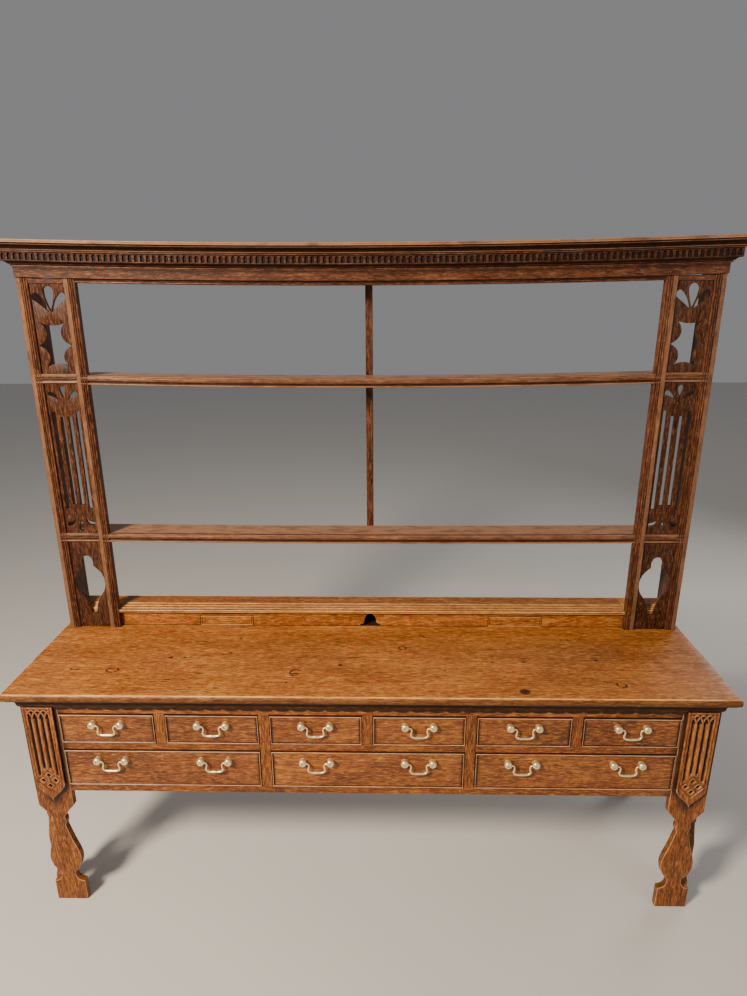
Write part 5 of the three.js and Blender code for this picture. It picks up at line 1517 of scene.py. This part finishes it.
def galleryCap(front, foot, nose, s):
    # (y, z) section of the cap: a square lip, then reeds that climb in equal steps to the flat top.
    rise, run, start, lip = s["capRise"], s["capSlope"] + nose, front - nose, s["capRise"] / 3
    steps, corner, (low, lean, end), quirk = s["capReeds"], s["capCorner"], s["reed"], s["reedQuirk"]
    k = np.arange(steps + 1)
    y, z = start + run * k / steps, foot + lip + (rise - lip) * k / steps
    reeds = []
    for y0, z0, y1, z1 in zip(y, z, y[1:], z[1:]):
        reeds.append(bend((y0, z0 + low), (y0 + lean, z1 + lean), (y1 - end, z1), 7))
        reeds.append(line((y1 - quirk[0], z1 - quirk[1])))
    rear = front + s["depth"]
    return chain((start + corner, foot), (start, foot + corner), (start, foot + lip - s["lipEnd"]),
                 *reeds[:-1], (front + s["capSlope"], foot + rise), (rear, foot + rise), (rear, foot))


def galleryArch(s):
    # The bell-shaped hole: three bends up its right side, mirrored, at shares of its height.
    p = scaled(s["arch"], (0, rackFoot), (1, s["archHeight"]))
    right = chain(*(bend(*p[2 * k:2 * k + 3], count) for k, count in enumerate(s["archBends"])))
    return chain(right * (-1, 1), right[::-1])


def makeGallery(s):
    # A case behind the pilasters: the cap in three runs, a face with notches for the drawers and the arch, a rear
    # board, partitions, linings in the hole painted dark for its shade, and strips of painted shadow along the
    # foot.
    half, front, foot, inside = nodeCorners("gallery")[1][0], pilasterRear + fit, rackFoot, s["archHalf"]
    wall, gap, thin, shadowLine = s["wall"], s["drawerGap"], s["shadeLining"], s["shadowLine"]
    rear, capFoot = front + s["depth"], foot + s["height"]
    skins = [alongX(galleryCap(front, capFoot, s["nose"], s), -bayHalf + fit, bayHalf - fit)]
    # The ridges of the cap's reeds are painted pale as highlights, and the rest of the cap a little darker.
    limit, rubbedAndHighlight, other = s["capHighlight"]
    skins[0]["wear"] = np.where(skins[0]["wear"] > limit, rubbedAndHighlight, other)
    for side in (-1, 1):
        x0, x1 = sorted((side * (bayHalf - fit), side * half))
        skins.append(alongX(galleryCap(front, capFoot, 0.0, s), x0, x1))
    cheeks = [side * (inside + wall / 2) for side in (-1, 1)]
    spans = [(cheek - wall / 2, cheek + wall / 2) for cheek in cheeks]
    notches, ends = [], []
    for word in ("left", "right"):
        drawerLow, drawerHigh = nodeCorners(f"gallery_drawer_{word}")
        x0, x1, top = drawerLow[0] - gap, drawerHigh[0] + gap, drawerHigh[2] + gap
        notches.append(line((x0, foot), (x0, top), (x1, top), (x1, foot)))
        spans += [(x0 - wall, x0), (x1, x1 + wall)]
        ends += [x0, x1]
    outline = chain((-half, foot), notches[0], galleryArch(s), notches[1], (half, foot), (half, capFoot),
                    (-half, capFoot))
    face = plateSkin(outline, [], front, front + wall, s["edge"], "x", steps=2, arris=s["arris"])
    # Only around the arch does the rounded edge keep its pale arris, a painted highlight on the arch's rim.
    nearArch = np.abs(face["points"][:, 0]) < inside + s["archReach"]
    face["wear"] = np.where(nearArch, face["wear"], np.minimum(face["wear"], 0))
    skins.append(face)
    skins.append(boxSkin((-half, rear - wall, foot), (half, rear, capFoot)))
    skins += [boxSkin((x0, front + wall, foot), (x1, rear - wall, capFoot), "y") for x0, x1 in spans]
    behind = rear - wall
    shadeSheets = [boxSkin((-inside, front + thin, foot), (inside, behind, foot + thin)),
            boxSkin((-inside, behind - thin, foot), (inside, behind, capFoot))]
    for side in (-1, 1):
        x0, x1 = sorted((side * inside, side * (inside - thin)))
        shadeSheets.append(boxSkin((x0, front + wall, foot), (x1, behind, capFoot)))
    edges = [-half, ends[0], ends[1], -inside, inside, ends[2], ends[3], half]
    for x0, x1 in zip(edges[::2], edges[1::2]):
        shadeSheets.append(boxSkin((x0, front - s["shadowLineProud"], foot), (x1, front, foot + shadowLine)))
    # The linings and the strips along the foot are painted dark, for the shade in the hole and the shadow along
    # the joint.
    for made in shadeSheets:
        made["wear"] = made["wear"] - 1
    makePiece("gallery_case", [*skins, *shadeSheets], "top_oak", ["gallery"])


def makeGalleryDrawers(s):
    # Each drawer's beaded front, set back by its bead, with a box behind it.
    for word in ("left", "right"):
        name = f"gallery_drawer_{word}"
        (x0, y0, z0), high = nodeCorners(name)
        front = drawerFront(x0, high[0], z0, high[2], s["drawer"], y0 + s["drawer"]["beadProud"])
        box = drawerBox((x0, y0 + s["wall"], z0), high, s["drawerWall"], s["drawerWall"])
        makePiece(f"{name}_boards", [front, *box], "top_oak", [name], name)


def makeRoof():
    # A board as thick as its box is high without the sag.
    low, high = nodeCorners("roof_board")
    thick = high[2] - low[2] - sags["cornice"]
    section = rectangle(low[1], high[2] - thick, high[1], high[2])
    roof = alongX(section, low[0], high[0], sags["cornice"], rackHalf, step=0.03, count=31)
    makePiece("roof_board_plank", [roof], "rack_oak", ["roof_board"])


makeShelves(shelfShape)
makePilasters(pilasterShape)
makeFretBoards(fretShape)
makeCornice(corniceShape)
makeFrieze(friezeShape)
makeDentils(dentilShape, corniceShape["band"] * corniceShape["proud"])
makeGallery(galleryShape)
makeGalleryDrawers(galleryShape)
makeRoof()
for word in ("left", "right"):
    boxPiece(f"end_board_{word}", "z", "rack_oak")
boxPiece("back_mullion", "z", "rack_oak", shelfShape["mullionWorn"])
print("rack made")


# Stage: a pale floor, soft light from above the front, and a pale surround

stageShape = {
    "floorHalf": 14.0, "floorColour": (0.62, 0.60, 0.57), "floorShade": (0.496, 0.48, 0.456),
    "floorRough": 0.75, "mottle": ((3.0, 3.0, 3.0), 4.0, 0.6), "mottleShare": 0.12,
    "surround": (0.84, 0.84, 0.86), "surroundLight": 0.27,
}
lamps = {
    "key": {"place": (-2.3, -2.6, 3.4), "aim": (-0.1, 0.0, 0.95), "size": 0.9, "power": 315,
            "colour": (1.0, 0.87, 0.70)},
    "fill": {"place": (3.0, -2.6, 2.4), "aim": (0.0, 0.0, 1.0), "size": 2.0, "power": 20,
             "colour": (1.0, 0.93, 0.84)},
    "rear": {"place": (3.6, 2.4, 2.5), "aim": (0.0, 0.1, 1.2), "size": 2.0, "power": 42,
             "colour": (1.0, 0.97, 0.93)},
}


def makeStage(s):
    # A square floor of a slightly mottled colour, and an even surround.
    half = s["floorHalf"]
    mesh = bpy.data.meshes.new("floor")
    corners = [(-half, -half, 0), (half, -half, 0), (half, half, 0), (-half, half, 0)]
    mesh.from_pydata(corners, [], [(0, 1, 2, 3)])
    material, start = newMaterial("pale floor")
    place = start.node("ShaderNodeTexCoord", {}, output="Object")
    mottle = place.noise(*s["mottle"])
    colour = start.mix(mottle * s["mottleShare"], rgba(s["floorColour"]), rgba(s["floorShade"]))
    finishMaterial(start, {"Base Color": colour, "Roughness": s["floorRough"]})
    mesh.materials.append(material)
    floor = bpy.data.objects.new("floor", mesh)
    bpy.context.scene.collection.objects.link(floor)
    world = bpy.data.worlds.new("surround")
    world.use_nodes = True
    background = world.node_tree.nodes["Background"]
    background.inputs["Color"].default_value = rgba(s["surround"])
    background.inputs["Strength"].default_value = s["surroundLight"]
    bpy.context.scene.world = world


def makeLamps(lamps):
    # Each lamp's back axis is the unit vector from its aim to its place, and its right axis is level.
    for name, lamp in lamps.items():
        data = bpy.data.lights.new(name, "AREA")
        data.shape = "DISK"
        data.size, data.energy, data.color = lamp["size"], lamp["power"], lamp["colour"]
        back = np.array(lamp["place"]) - np.array(lamp["aim"])
        back /= np.linalg.norm(back)
        right = np.cross((0, 0, 1), back)
        right /= np.linalg.norm(right)
        putInScene(name, data, lamp["place"], right, np.cross(back, right), back)


makeStage(stageShape)
makeLamps(lamps)
print("stage set")
